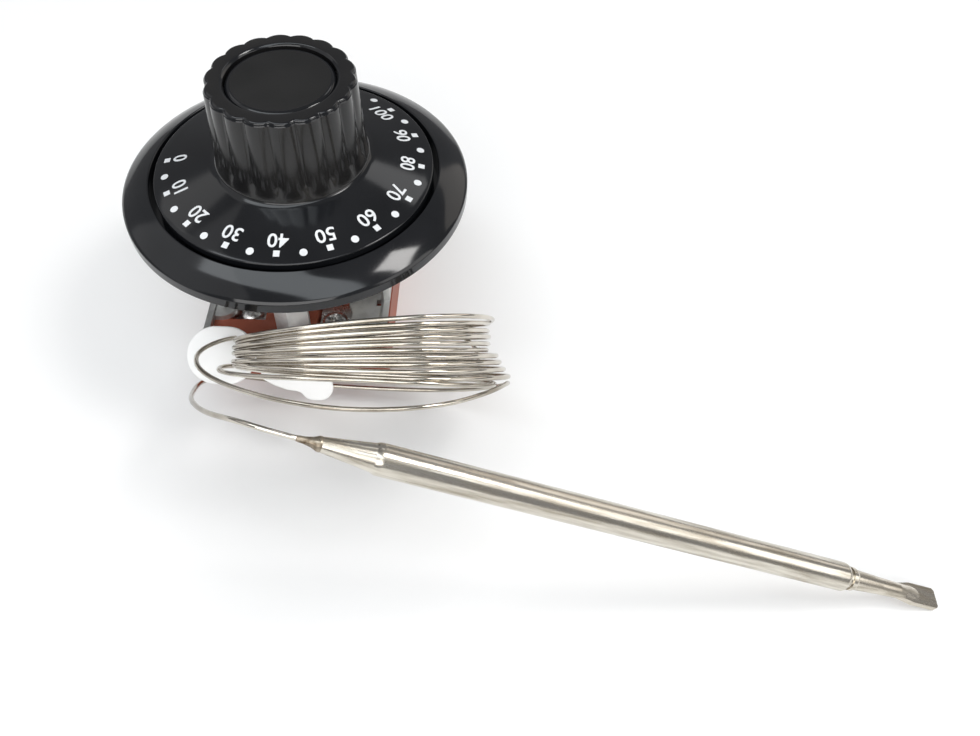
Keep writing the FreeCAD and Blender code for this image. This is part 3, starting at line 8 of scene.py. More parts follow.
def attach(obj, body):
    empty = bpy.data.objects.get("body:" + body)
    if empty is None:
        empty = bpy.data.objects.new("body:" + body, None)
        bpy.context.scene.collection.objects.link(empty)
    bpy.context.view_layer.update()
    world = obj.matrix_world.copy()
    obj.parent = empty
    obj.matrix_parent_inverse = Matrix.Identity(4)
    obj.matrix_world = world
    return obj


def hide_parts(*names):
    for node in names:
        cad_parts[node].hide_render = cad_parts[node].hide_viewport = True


mm = 0.001
poleRadius = 0.0003  # in millimetres: a lathe's profile closes on the axis with a circle of nearly nothing
mergeDistance = 0.000002
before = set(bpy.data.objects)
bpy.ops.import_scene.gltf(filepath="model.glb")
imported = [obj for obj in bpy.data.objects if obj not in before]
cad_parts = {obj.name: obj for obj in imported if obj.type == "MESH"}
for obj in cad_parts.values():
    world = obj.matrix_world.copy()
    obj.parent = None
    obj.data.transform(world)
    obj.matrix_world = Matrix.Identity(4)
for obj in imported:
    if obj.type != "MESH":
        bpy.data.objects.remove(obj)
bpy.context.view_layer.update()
print("frame loaded:", len(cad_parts), "nodes")


# Camera: the photograph's view, with the picture taken as 980 x 736
cameraPlace = {
    "place": (0.04621, -0.17621, 0.19653),
    "right": (0.9994, 0.0262, 0.0208),
    "down": (0.0335, -0.7826, -0.6217),
    "forward": (0.0, 0.6220, -0.7830),
    "lens": 36.37, "sensor": 36, "nearest": 0.005,
}


def makeCamera():
    data = bpy.data.cameras.new("photo_camera")
    data.lens = cameraPlace["lens"]
    data.sensor_width = cameraPlace["sensor"]
    data.clip_start = cameraPlace["nearest"]
    camera = bpy.data.objects.new("photo_camera", data)
    bpy.context.scene.collection.objects.link(camera)
    right = Vector(cameraPlace["right"])
    up = -Vector(cameraPlace["down"])
    back = -Vector(cameraPlace["forward"])
    turn = Matrix((right, up, back)).transposed().to_4x4()
    camera.matrix_world = Matrix.Translation(cameraPlace["place"]) @ turn
    bpy.context.scene.camera = camera


# General helpers

def deselectAll():
    if bpy.context.object and bpy.context.object.mode != "OBJECT":
        bpy.ops.object.mode_set(mode="OBJECT")
    bpy.ops.object.select_all(action="DESELECT")


def pick(piece):
    deselectAll()
    piece.select_set(True)
    bpy.context.view_layer.objects.active = piece


def settle(piece):
    # the place goes into the mesh, so the object sits at the origin
    pick(piece)
    bpy.ops.object.transform_apply(location=True, rotation=True, scale=True)


def joinAll(pieces, name):
    deselectAll()
    for piece in pieces:
        piece.select_set(True)
    bpy.context.view_layer.objects.active = pieces[0]
    bpy.ops.object.join()
    pieces[0].name = name
    return pieces[0]


def cleanMesh(piece, smoothAngle=35):
    pick(piece)
    bpy.ops.object.mode_set(mode="EDIT")
    bpy.ops.mesh.select_all(action="SELECT")
    bpy.ops.mesh.remove_doubles(threshold=mergeDistance)
    bpy.ops.mesh.normals_make_consistent(inside=False)
    bpy.ops.object.mode_set(mode="OBJECT")
    bpy.ops.object.shade_smooth_by_angle(angle=math.radians(smoothAngle))


def applyModifier(piece, kind, **settings):
    pick(piece)
    modifier = piece.modifiers.new(kind.lower(), kind)
    for key, setting in settings.items():
        setattr(modifier, key, setting)
    bpy.ops.object.modifier_apply(modifier=modifier.name)


def lathe(name, profile, segments=144, smoothAngle=35):
    # a circle is extruded and resized from point to point of a profile: radius and height in millimetres
    deselectAll()
    radius, height = profile[0]
    bpy.ops.mesh.primitive_circle_add(vertices=segments, radius=radius * mm, location=(0, 0, height * mm))
    piece = bpy.context.object
    piece.name = name
    settle(piece)
    bpy.ops.object.mode_set(mode="EDIT")
    bpy.ops.mesh.select_all(action="SELECT")
    for (oldRadius, oldHeight), (newRadius, newHeight) in zip(profile, profile[1:]):
        step = (0, 0, (newHeight - oldHeight) * mm)
        bpy.ops.mesh.extrude_edges_move(TRANSFORM_OT_translate={"value": step})
        if abs(newRadius - oldRadius) > 1e-9:
            share = newRadius / oldRadius
            bpy.ops.transform.resize(value=(share, share, 1), center_override=(0, 0, 0))
    bpy.ops.object.mode_set(mode="OBJECT")
    cleanMesh(piece, smoothAngle)
    return piece


def corner(centre, radius, start, end, steps=5):
    # points of a rounded corner, for a profile
    points = []
    for step in range(steps + 1):
        angle = math.radians(start + (end - start) * step / steps)
        points.append((centre[0] + radius * math.cos(angle), centre[1] + radius * math.sin(angle)))
    return points


def dress(piece, body, slotName, material, *nodes):
    piece.data.materials.clear()
    piece.data.materials.append(material)
    if nodes:
        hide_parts(*nodes)
    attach(piece, body)


# Material helpers

def newMaterial(name):
    material = bpy.data.materials.new(name)
    material.use_nodes = True
    tree = material.node_tree
    return material, tree, tree.nodes["Principled BSDF"]


def addNode(tree, kind, **settings):
    node = tree.nodes.new(kind)
    for key, setting in settings.items():
        if key in node.inputs:
            node.inputs[key].default_value = setting
        else:
            setattr(node, key, setting)
    return node


def addMath(tree, operation, first, second):
    # the second value is a socket or a plain number
    node = addNode(tree, "ShaderNodeMath", operation=operation)
    tree.links.new(first, node.inputs[0])
    if isinstance(second, (int, float)):
        node.inputs[1].default_value = second
    else:
        tree.links.new(second, node.inputs[1])
    return node.outputs[0]


def objectPattern(tree, kind, scale, stretch=(1, 1, 1), turn=(0, 0, 0), **settings):
    # a procedural pattern on object coordinates, turned and then stretched along its own axes
    place = addNode(tree, "ShaderNodeTexCoord")
    mapping = addNode(tree, "ShaderNodeMapping", vector_type="TEXTURE")
    mapping.inputs["Scale"].default_value = stretch
    mapping.inputs["Rotation"].default_value = turn
    pattern = addNode(tree, kind, **settings)
    pattern.inputs["Scale"].default_value = scale
    tree.links.new(place.outputs["Object"], mapping.inputs["Vector"])
    tree.links.new(mapping.outputs["Vector"], pattern.inputs["Vector"])
    return pattern.outputs["Fac"]


def ramp(tree, source, stops):
    # two colours, each at its place on the source's scale
    node = addNode(tree, "ShaderNodeValToRGB")
    for element, (place, colour) in zip(node.color_ramp.elements, stops):
        element.position = place
        element.color = (*colour, 1)
    tree.links.new(source, node.inputs["Fac"])
    return node.outputs["Color"]


def spread(tree, source, low, high, start=0.3, end=0.7):
    # a value from start to end is stretched to one from low to high
    node = addNode(tree, "ShaderNodeMapRange")
    for key, amount in (("From Min", start), ("From Max", end), ("To Min", low), ("To Max", high)):
        node.inputs[key].default_value = amount
    tree.links.new(source, node.inputs["Value"])
    return node.outputs["Result"]


def addBump(tree, shader, source, strength, distance):
    bump = addNode(tree, "ShaderNodeBump", Strength=strength, Distance=distance)
    tree.links.new(source, bump.inputs["Height"])
    tree.links.new(bump.outputs["Normal"], shader.inputs["Normal"])


# Plastics: two colours in a soft cloud, a roughness from low to high, and a fine grain
plasticSkin = {"cloud": 60, "cloudDetail": 6, "grainDetail": 3, "grainDeep": 0.00005, "index": 1.5}

glossBlackLook = {
    "dark": (0.006, 0.0065, 0.008), "light": (0.011, 0.012, 0.014), "low": 0.07, "high": 0.13, "bump": 0.02,
}
gripBlackLook = {
    "dark": (0.007, 0.007, 0.008), "light": (0.016, 0.0155, 0.015), "low": 0.11, "high": 0.2, "bump": 0.1,
}
capBlackLook = {
    "dark": (0.004, 0.004, 0.004), "light": (0.009, 0.0085, 0.0085), "low": 0.5, "high": 0.68, "bump": 0.35,
}
brownLook = {
    "dark": (0.27, 0.064, 0.035), "light": (0.44, 0.122, 0.07), "low": 0.3, "high": 0.46, "bump": 0.25,
}
ceramicLook = {
    "dark": (0.7, 0.68, 0.62), "light": (0.85, 0.83, 0.78), "low": 0.4, "high": 0.55, "bump": 0.2,
}
whiteLook = {
    "dark": (0.96, 0.96, 0.95), "light": (0.99, 0.99, 0.985), "low": 0.35, "high": 0.5, "bump": 0.06,
}
printLook = {
    "dark": (0.78, 0.8, 0.82), "light": (0.9, 0.92, 0.94), "low": 0.4, "high": 0.55, "bump": 0.1,
}


def makePlastic(name, look, grain=900):
    skin = plasticSkin
    material, tree, shader = newMaterial(name)
    cloud = objectPattern(tree, "ShaderNodeTexNoise", skin["cloud"], Detail=skin["cloudDetail"])
    colour = ramp(tree, cloud, ((0.3, look["dark"]), (0.7, look["light"])))
    tree.links.new(colour, shader.inputs["Base Color"])
    tree.links.new(spread(tree, cloud, look["low"], look["high"]), shader.inputs["Roughness"])
    fine = objectPattern(tree, "ShaderNodeTexNoise", grain, Detail=skin["grainDetail"])
    addBump(tree, shader, fine, look["bump"], skin["grainDeep"])
    shader.inputs["IOR"].default_value = skin["index"]
    return material


# Metals: as the plastics, with the rougher places the darker ones, and a grain five times as fine
metalSkin = {"cloudDetail": 5, "grainFiner": 5, "grainDetail": 2, "grainDeep": 0.00003}

zincLook = {
    "dark": (0.5, 0.51, 0.51), "light": (0.76, 0.77, 0.76), "low": 0.3, "high": 0.5, "metal": 0.85,
}
screwLook = {
    "dark": (0.6, 0.6, 0.6), "light": (0.88, 0.88, 0.87), "low": 0.2, "high": 0.34, "metal": 1.0,
}
brassLook = {
    "dark": (0.5, 0.34, 0.12), "light": (0.75, 0.56, 0.26), "low": 0.2, "high": 0.4, "metal": 1.0,
}
springLook = {
    "dark": (0.2, 0.2, 0.21), "light": (0.42, 0.42, 0.43), "low": 0.22, "high": 0.38, "metal": 1.0,
}
silverLook = {
    "dark": (0.7, 0.69, 0.66), "light": (0.88, 0.87, 0.84), "low": 0.12, "high": 0.22, "metal": 1.0,
}
wireLook = {
    "dark": (0.31, 0.27, 0.215), "light": (0.74, 0.695, 0.62), "low": 0.08, "high": 0.17, "metal": 1.0,
}
bulbLook = {
    "dark": (0.41, 0.365, 0.295), "light": (0.76, 0.72, 0.64), "low": 0.16, "high": 0.32, "metal": 1.0,
}
stemLook = {
    "dark": (0.4, 0.355, 0.285), "light": (0.73, 0.68, 0.59), "low": 0.18, "high": 0.34, "metal": 1.0,
}
brazeLook = {
    "dark": (0.12, 0.085, 0.05), "light": (0.45, 0.39, 0.31), "low": 0.25, "high": 0.5, "metal": 0.9,
}


def makeMetal(name, look, scale, stretch=(1, 1, 1), turn=(0, 0, 0), bump=0.15):
    skin = metalSkin
    material, tree, shader = newMaterial(name)
    shader.inputs["Metallic"].default_value = look["metal"]
    cloud = objectPattern(tree, "ShaderNodeTexNoise", scale, stretch, turn, Detail=skin["cloudDetail"])
    colour = ramp(tree, cloud, ((0.32, look["dark"]), (0.62, look["light"])))
    tree.links.new(colour, shader.inputs["Base Color"])
    tree.links.new(spread(tree, cloud, look["high"], look["low"]), shader.inputs["Roughness"])
    fine = objectPattern(tree, "ShaderNodeTexNoise", scale * skin["grainFiner"], stretch, turn,
                         Detail=skin["grainDetail"])
    addBump(tree, shader, fine, bump, skin["grainDeep"])
    return material


# Capillary: one spline from the base through the coil and the loose loop to the bulb.
# The points follow the base's exit, then the winding's turns, then the loop, in millimetres.
leadRoute = [
    (21.0, -17.5, 11.3), (27.6, -17.5, 11.3), (36.4, -17.9, 11.2), (41.6, -20.9, 11.1), (43.9, -26.2, 11.1),
    (41.6, -31.0, 11.0), (36.6, -32.9, 10.7), (31.2, -32.0, 9.9),
]
tailRoute = [
    (1.8, -28.1, 17.0), (-8.2, -30.0, 21.5), (-13.0, -36.6, 28.0), (-16.9, -44.6, 32.5), (-13.0, -52.8, 35.9),
    (1.2, -61.6, 40.6), (19.0, -65.6, 42.5), (36.2, -63.4, 41.7), (46.3, -54.9, 35.7), (50.8, -44.4, 26.2),
    (49.4, -36.8, 14.5), (38.2, -33.1, 7.1), (18.7, -31.4, 4.6), (-1.9, -30.8, 5.1), (-15.6, -31.5, 8.4),
    (-19.9, -38.7, 15.4), (-18.2, -48.8, 23.9), (-12.6, -61.4, 38.2), (-5.6, -71.7, 49.1), (2.7, -79.3, 58.0),
    (9.0, -81.6, 58.5), (13.6, -81.6, 56.5),
]
tubeShape = {"radius": 0.5, "rings": 3, "stepsPerPoint": 5}
coilPlace = {
    "centre": (19.3, -40.3, 29.6), "tilt": 50.85, "straight": 6.7, "squareness": 2.2,
    "leftX": -23.0, "rightX": 27.0, "shareLow": -0.1, "shareHigh": 1.12,
    "pointsPerTurn": 18, "startAngle": 92.0, "endAngle": 112.0, "nearShare": 0.494, "bulgeRise": 0.42,
    "seed": 4, "wobble": 0.1, "liftRate": 2.1, "swellRate": 1.37,
}
# for each turn: levels at its left, middle and right above the coil's plane, radius, and how far its
# right end and its left end reach out past the oval
coilTurns = [
    (-6.02, -5.55, -6.3, 21.9, -0.85, 5.6), (-4.17, -5.04, -4.75, 21.0, 3.89, 0.0),
    (-3.58, -3.87, -3.11, 21.9, 1.84, 0.0), (-3.21, -2.56, -1.6, 21.0, 1.72, 0.0),
    (-2.65, -1.23, -0.09, 21.9, 0.36, 0.0), (-1.33, 0.22, 1.09, 21.0, -1.47, 0.0),
    (-0.74, 1.3, 2.47, 21.9, -1.86, 0.0), (0.03, 2.49, 3.91, 21.0, -0.92, 0.0),
    (0.7, 3.73, 5.25, 21.9, -2.29, 0.0), (1.55, 4.91, 6.78, 21.0, -1.35, 0.0),
    (2.37, 6.1, 8.7, 21.6, -0.38, 0.0), (1.0, 2.2, 3.5, 20.6, -2.5, 0.0),
]


def coilPoint(angle, turn):
    # one point of the winding: an oval with straight sides, in the coil's own leaning plane
    leftLevel, middleLevel, rightLevel, radius, rightReach, leftReach = turn
    side, far = math.cos(angle), math.sin(angle)
    x = coilPlace["straight"] * max(-1.0, min(1.0, side * coilPlace["squareness"])) + radius * side
    rise = 0.0
    if side > 0:
        x += rightReach * side ** 2
    else:
        # the lowest turn's left end bulges out, and rises as it does
        x -= leftReach * side ** 2 * min(1.0, max(0.0, -2 * far))
        rise = leftReach * coilPlace["bulgeRise"] * side ** 4
    share = (x - coilPlace["leftX"]) / (coilPlace["rightX"] - coilPlace["leftX"])
    share = max(coilPlace["shareLow"], min(coilPlace["shareHigh"], share))
    level = leftLevel * (1 - share) * (1 - 2 * share) + rightLevel * share * (2 * share - 1)
    level += middleLevel * 4 * share * (1 - share) + rise
    tilt = math.radians(coilPlace["tilt"])
    farWay = Vector((0, math.cos(tilt), -math.sin(tilt)))
    levelWay = Vector((0, math.sin(tilt), math.cos(tilt)))
    return Vector(coilPlace["centre"]) + Vector((x, 0, 0)) + farWay * far * radius + levelWay * level


def coilRoute():
    dice = random.Random(coilPlace["seed"])
    most = coilPlace["wobble"]
    turns = len(coilTurns) - 1
    start = math.radians(coilPlace["startAngle"])
    total = math.tau * turns + math.radians(coilPlace["endAngle"] - coilPlace["startAngle"])
    count = coilPlace["pointsPerTurn"] * turns
    wobble = [(dice.uniform(-most, most), dice.uniform(-most, most)) for index in range(turns + 2)]
    points = []
    for step in range(count + 1):
        gone = total * step / count
        # each turn takes its own row where it passes nearest, and changes to the next one behind
        turn = max(0.0, min(gone / math.tau - coilPlace["nearShare"], turns))
        index = min(int(turn), turns - 1)
        share = turn - index
        ease = share * share * (3 - 2 * share)
        blend = [a + (b - a) * ease for a, b in zip(coilTurns[index], coilTurns[index + 1])]
        lift = wobble[index][1] * math.sin(gone * coilPlace["liftRate"] + index)
        for place in range(3):
            blend[place] += lift
        blend[3] += wobble[index][0] * math.sin(gone * coilPlace["swellRate"] + index)
        points.append(coilPoint(start + gone, blend))
    return points


def makeCapillary(material):
    points = [Vector(point) for point in leadRoute] + coilRoute() + [Vector(point) for point in tailRoute]
    data = bpy.data.curves.new("capillary", "CURVE")
    data.dimensions = "3D"
    spline = data.splines.new("NURBS")
    spline.points.add(len(points) - 1)
    for target, point in zip(spline.points, points):
        target.co = (*(point * mm), 1)
    spline.order_u = 3
    spline.use_endpoint_u = True
    spline.resolution_u = tubeShape["stepsPerPoint"]
    data.bevel_depth = tubeShape["radius"] * mm
    data.bevel_resolution = tubeShape["rings"]
    data.use_fill_caps = True
    piece = bpy.data.objects.new("capillary", data)
    bpy.context.scene.collection.objects.link(piece)
    dress(piece, "frame", "capillary_steel", material, "capillary_lead", "capillary_coil", "capillary_tail")
    return piece


# Braze: a slender fillet turned along Z, then laid along the bulb's own line
bulbLine = {"foot": (13.6, -81.6, 56.5), "tip": (143.4, -80.2, 0.6), "grainTurn": 113.3}
brazeShape = {
    "flank": ((0.53, 0.0), (0.6, 0.5), (0.66, 1.3), (0.78, 2.1), (0.98, 2.9), (1.22, 3.5), (1.42, 3.9),
              (1.44, 4.3)),
    "mouth": (1.37, 4.6), "segments": 48,
}


def layAlong(piece):
    foot, tip = Vector(bulbLine["foot"]) * mm, Vector(bulbLine["tip"]) * mm
    piece.rotation_mode = "QUATERNION"
    piece.rotation_quaternion = Vector((0, 0, 1)).rotation_difference(tip - foot)
    piece.location = foot
    settle(piece)


def makeBraze():
    mouth = brazeShape["mouth"]
    profile = [(poleRadius, 0.0), *brazeShape["flank"], mouth, (poleRadius, mouth[1])]
    braze = lathe("braze_fillet", profile, brazeShape["segments"])
    layAlong(braze)
    return braze


# Tie: a flat strap round the winding's left end, with a long round head and a tail with a round end
tieShape = {
    "wall": 1.0, "near": 3.0, "wide": 5.0, "left": -32.4, "right": -24.1, "low": -6.35, "high": 3.55,
    "bandRound": 1.6, "bandEdge": 0.25, "sheetEdge": 0.3,
    "headX": -33.5, "headLevel": -1.8, "headTall": 6.5, "headLong": 1.3,
    "tailX": -12.6, "tailLevel": -8.3, "tailHalf": 2.9, "tailLong": 1.5,
    # the tail's lower and upper edges, counted from the band's lower right corner
    "tailUnder": ((-0.4, 1.8), (-0.4, -0.3), (2.8, -1.9), (5.6, -2.75), (8.0, -3.0)),
    "tailOver": ((7.0, 1.25), (3.0, 1.6)),
}


def inCoilPlane(piece):
    piece.rotation_euler = (-math.radians(coilPlace["tilt"]), 0, 0)
    piece.location = Vector(coilPlace["centre"]) * mm
    settle(piece)


def makeBand():
    # a cube opened at its two long sides, rounded and given a wall
    shape = tieShape
    wall = shape["wall"]
    width, tall = shape["right"] - shape["left"], shape["high"] - shape["low"]
    centre = (shape["left"] + width / 2, shape["near"] + shape["wide"] / 2, shape["low"] + tall / 2)
    deselectAll()
    bpy.ops.mesh.primitive_cube_add(size=1, location=[place * mm for place in centre])
    band = bpy.context.object
    band.scale = ((width + wall * 2) * mm, shape["wide"] * mm, (tall + wall * 2) * mm)
    settle(band)
    for polygon in band.data.polygons:
        polygon.select = abs(polygon.normal.y) > 0.9
    bpy.ops.object.mode_set(mode="EDIT")
    bpy.ops.mesh.select_mode(type="FACE")
    bpy.ops.mesh.delete(type="ONLY_FACE")
    bpy.ops.object.mode_set(mode="OBJECT")
    for edge in band.data.edges:
        a, b = (band.data.vertices[index].co for index in edge.vertices)
        edge.select = abs(a.y - b.y) > mm
    bpy.ops.object.mode_set(mode="EDIT")
    bpy.ops.mesh.select_mode(type="EDGE")
    bpy.ops.mesh.bevel(offset=shape["bandRound"] * mm, segments=6)
    bpy.ops.object.mode_set(mode="OBJECT")
    applyModifier(band, "SOLIDIFY", thickness=wall * mm, offset=-1)
    applyModifier(band, "BEVEL", width=shape["bandEdge"] * mm, segments=2, limit_method="ANGLE")
    return band


def sheetPiece(name, outline):
    # a flat outline of X and Z in millimetres becomes a sheet with rounded edges at the band's far side
    shape = tieShape
    wall = shape["wall"]
    y = shape["near"] + shape["wide"] - wall / 2
    deselectAll()
    bpy.ops.mesh.primitive_circle_add(vertices=len(outline), radius=mm, fill_type="NGON")
    piece = bpy.context.object
    piece.name = name
    for vertex, (x, z) in zip(piece.data.vertices, outline):
        vertex.co = (x * mm, y * mm, z * mm)
    applyModifier(piece, "SOLIDIFY", thickness=wall * mm, offset=0)
    applyModifier(piece, "BEVEL", width=shape["sheetEdge"] * mm, segments=3, limit_method="ANGLE")
    return piece


def makeTie():
    shape = tieShape
    band = makeBand()
    tall, level = shape["headTall"], shape["headLevel"]
    outline = corner((shape["headX"] + shape["headLong"], level), tall, -90, 90, steps=28)
    outline += corner((shape["headX"] - shape["headLong"], level), tall, 90, 270, steps=28)
    head = sheetPiece("tie_head", outline)

    # the tail leaves the band's lower right edge and widens to its round end
    right, low = shape["right"], shape["low"]
    half, level = shape["tailHalf"], shape["tailLevel"]
    outline = [(right + x, low + z) for x, z in shape["tailUnder"]]
    outline += corner((shape["tailX"], level), half, -150, -90, steps=8)
    outline += corner((shape["tailX"] + shape["tailLong"], level), half, -90, 96, steps=22)
    outline += [(right + x, low + z) for x, z in shape["tailOver"]]
    tail = sheetPiece("tie_tail", outline)

    tie = joinAll((band, head, tail), "coil_strap")
    inCoilPlane(tie)
    cleanMesh(tie, smoothAngle=40)
    return tie


# Bezel, dial and knob: radii and heights in millimetres, with heights counted from the panel seat
seat = 40.4


def lifted(points):
    return [(radius, height + seat) for radius, height in points]


bezelShape = {
    "bore": 8.0, "floor": 1.8, "lipInner": 32.9, "lipFoot": 4.9,
    "under": ((34.5, 0.0), (34.5, 3.7), (37.9, 1.8), (37.9, 0.0)),
    "edge": ((39.4, 0.0), (39.5, 0.12), (39.5, 2.1)),
    "edgeCorner": (39.15, 2.15), "edgeRound": 0.35, "lipCorner": (33.22, 5.58), "lipRound": 0.32,
    "slopeFoot": (39.3, 2.5), "slopeTop": (33.3, 5.9), "bulge": 0.24, "bulgeWay": (0.5, 0.866),
    "slopeSteps": 12, "segments": 192,
}


def makeBezel():
    shape = bezelShape
    crown = []
    # the convex slope from the outer edge up to the inner lip, which bulges out square to itself
    foot, top, way = shape["slopeFoot"], shape["slopeTop"], shape["bulgeWay"]
    for step in range(shape["slopeSteps"] + 1):
        share = step / shape["slopeSteps"]
        x = foot[0] + (top[0] - foot[0]) * share
        z = foot[1] + (top[1] - foot[1]) * share
        out = math.sin(share * math.pi) * shape["bulge"]
        crown.append((x + out * way[0], z + out * way[1]))
    profile = [(shape["bore"], 0.0), *shape["under"], *shape["edge"]]
    profile += corner(shape["edgeCorner"], shape["edgeRound"], 0, 60, steps=4)
    profile += crown
    profile += corner(shape["lipCorner"], shape["lipRound"], 80, 180)
    profile += [(shape["lipInner"], shape["lipFoot"]), (shape["lipInner"], shape["floor"])]
    profile += [(shape["bore"], shape["floor"]), (shape["bore"], 0.0)]
    return lathe("bezel_ring_look", lifted(profile), shape["segments"], smoothAngle=30)


knobShape = {
    "recess": ((12.05, 28.1), (12.05, 29.7), (12.35, 30.1), (12.6, 30.25), (12.9, 30.3), (15.2, 30.3)),
    "rimCorner": (15.3, 29.55), "rimRound": 0.75,
    "foot": 10.1, "top": 30.3, "footRadius": 17.15, "taper": 1.0, "gripSteps": 14, "above": 0.5, "below": 0.8,
    "footEdge": ((17.3, 10.25), (17.6, 10.0)),
    # the dial's cone, and its outer edge
    "coneInner": 17.6, "coneHigh": 10.0, "coneOuter": 31.3, "coneLow": 6.45, "coneRound": 0.4,
    "coneSteps": 12,
    "inside": ((31.7, 4.75), (31.5, 4.6), (16.0, 8.4), (13.4, 8.8), (12.5, 24.0), (5.4, 24.0), (5.4, 4.5),
               (3.1, 4.5), (3.1, 25.6)),
    # the grip's lobes, which fade out above the cone
    "lobes": 18, "lobeRadius": 4.1, "lobeOn": 16.2, "lobeInner": 14.0, "lobeLow": 10.4,
    "fadeFrom": 11.6, "fadeTo": 13.2, "segmentsPerLobe": 16,
}


def scallop(angle):
    # how far the outline falls below the lobes' crests at an angle
    pitch = math.tau / knobShape["lobes"]
    off = (angle + pitch / 2) % pitch - pitch / 2
    lobe, radius = knobShape["lobeRadius"], knobShape["lobeOn"]
    centre = radius - lobe
    reach = centre * math.cos(off) + math.sqrt(lobe ** 2 - (centre * math.sin(off)) ** 2)
    return radius - reach


def coneHeight(radius):
    shape = knobShape
    share = (radius - shape["coneInner"]) / (shape["coneOuter"] - shape["coneInner"])
    return shape["coneHigh"] + (shape["coneLow"] - shape["coneHigh"]) * share


def makeKnob():
    shape = knobShape
    foot, top = shape["foot"], shape["top"]
    low, high = foot + shape["above"], top - shape["below"]
    grip = []
    for step in range(shape["gripSteps"] + 1):
        height = low + (high - low) * step / shape["gripSteps"]
        grip.append((shape["footRadius"] - (height - foot) / (top - foot) * shape["taper"], height))
    profile = [(poleRadius, shape["recess"][0][1]), *shape["recess"]]
    profile += corner(shape["rimCorner"], shape["rimRound"], 80, 10)
    profile += grip[::-1]
    profile += shape["footEdge"]
    for step in range(1, shape["coneSteps"]):
        radius = shape["coneInner"] + (shape["coneOuter"] - shape["coneInner"]) * step / shape["coneSteps"]
        profile.append((radius, coneHeight(radius)))
    edge = (shape["coneOuter"], shape["coneLow"] - shape["coneRound"])
    profile += corner(edge, shape["coneRound"], 75, 0, steps=4)
    profile += shape["inside"]
    profile.append((poleRadius, shape["inside"][-1][1]))
    knob = lathe("knob_moulding", lifted(profile), shape["lobes"] * shape["segmentsPerLobe"], smoothAngle=32)
    for vertex in knob.data.vertices:
        height = vertex.co.z / mm - seat
        radius = math.hypot(vertex.co.x, vertex.co.y) / mm
        if height > shape["lobeLow"] and radius > shape["lobeInner"]:
            fade = (height - shape["fadeFrom"]) / (shape["fadeTo"] - shape["fadeFrom"])
            fade = min(1.0, max(0.0, fade))
            fade = fade * fade * (3 - 2 * fade)
            share = 1 - scallop(math.atan2(vertex.co.y, vertex.co.x)) * fade / radius
            vertex.co.x *= share
            vertex.co.y *= share
    return knob


capShape = {
    "side": ((11.9, 28.15), (11.95, 28.2), (11.95, 28.3)), "rimCorner": (10.65, 28.3), "rimRound": 1.3,
    "top": ((8.0, 29.61), (poleRadius, 29.62)), "segments": 96,
}


def makeCap():
    shape = capShape
    profile = [(poleRadius, shape["side"][0][1]), *shape["side"]]
    profile += corner(shape["rimCorner"], shape["rimRound"], 0, 90, steps=8)
    profile += shape["top"]
    return lathe("cap_disc", lifted(profile), shape["segments"])


# where a second finish lies: between two radii and inside height bands
gripFinish = {"inner": 12.0, "outer": 17.5, "bands": ((10.3, 29.5), (30.27, 31.0))}
capRimFinish = {"inner": 10.7, "outer": 12.0, "bands": ((28.3, 29.59),)}


def finishBand(piece, material, place):
    piece.data.materials.append(material)
    for polygon in piece.data.polygons:
        radius = math.hypot(polygon.center.x, polygon.center.y) / mm
        height = polygon.center.z / mm - seat
        inBand = any(low < height < high for low, high in place["bands"])
        if place["inner"] < radius < place["outer"] and inBand:
            polygon.material_index = 1


# Marks on the dial: squares with numbers at the tens, round dots between them
markShape = {
    "radius": 29.0, "square": 1.42, "squareWide": 0.96, "dot": 0.86, "raise": 0.035, "sink": 0.1,
    "digitRadius": 25.7, "digitTall": 3.28, "fontPerDigit": 1.38, "spacing": 1.02, "bolder": 0.06,
    "digitSteps": 6, "dotSides": 28, "tall": 1.0,
    "zeroAngle": 180.9, "anglePerUnit": 2.25, "every": 5, "numbered": 10, "last": 105,
}


def laidOnCone(piece, angle, radius):
    # a flat outline drawn at the origin is turned to its place and dropped on the cone
    settle(piece)
    turn = Matrix.Rotation(math.radians(angle - 90), 4, "Z")
    centre = Vector((math.cos(math.radians(angle)), math.sin(math.radians(angle)), 0)) * radius * mm
    for vertex in piece.data.vertices:
        place = turn @ Vector((vertex.co.x, vertex.co.y, 0)) + centre
        far = math.hypot(place.x, place.y) / mm
        lift = markShape["raise"] if vertex.co.z > 0 else -markShape["sink"]
        vertex.co = (place.x, place.y, (coneHeight(far) + seat + lift) * mm)


def makeSquare():
    shape = markShape
    bpy.ops.mesh.primitive_cube_add(size=1)
    mark = bpy.context.object
    mark.scale = (shape["square"] * shape["squareWide"] * mm, shape["square"] * mm, shape["tall"] * mm)
    settle(mark)
    bpy.ops.object.mode_set(mode="EDIT")
    bpy.ops.mesh.subdivide(number_cuts=2)
    bpy.ops.object.mode_set(mode="OBJECT")
    return mark


def makeNumber(value):
    shape = markShape
    deselectAll()
    bpy.ops.object.text_add()
    number = bpy.context.object
    number.data.body = str(value)
    number.data.align_x = "CENTER"
    number.data.align_y = "CENTER"
    number.data.size = shape["digitTall"] * shape["fontPerDigit"] * mm
    number.data.space_character = shape["spacing"]
    number.data.offset = shape["bolder"] * mm
    number.data.extrude = shape["tall"] / 2 * mm
    number.data.resolution_u = shape["digitSteps"]
    pick(number)
    bpy.ops.object.convert(target="MESH")
    return number


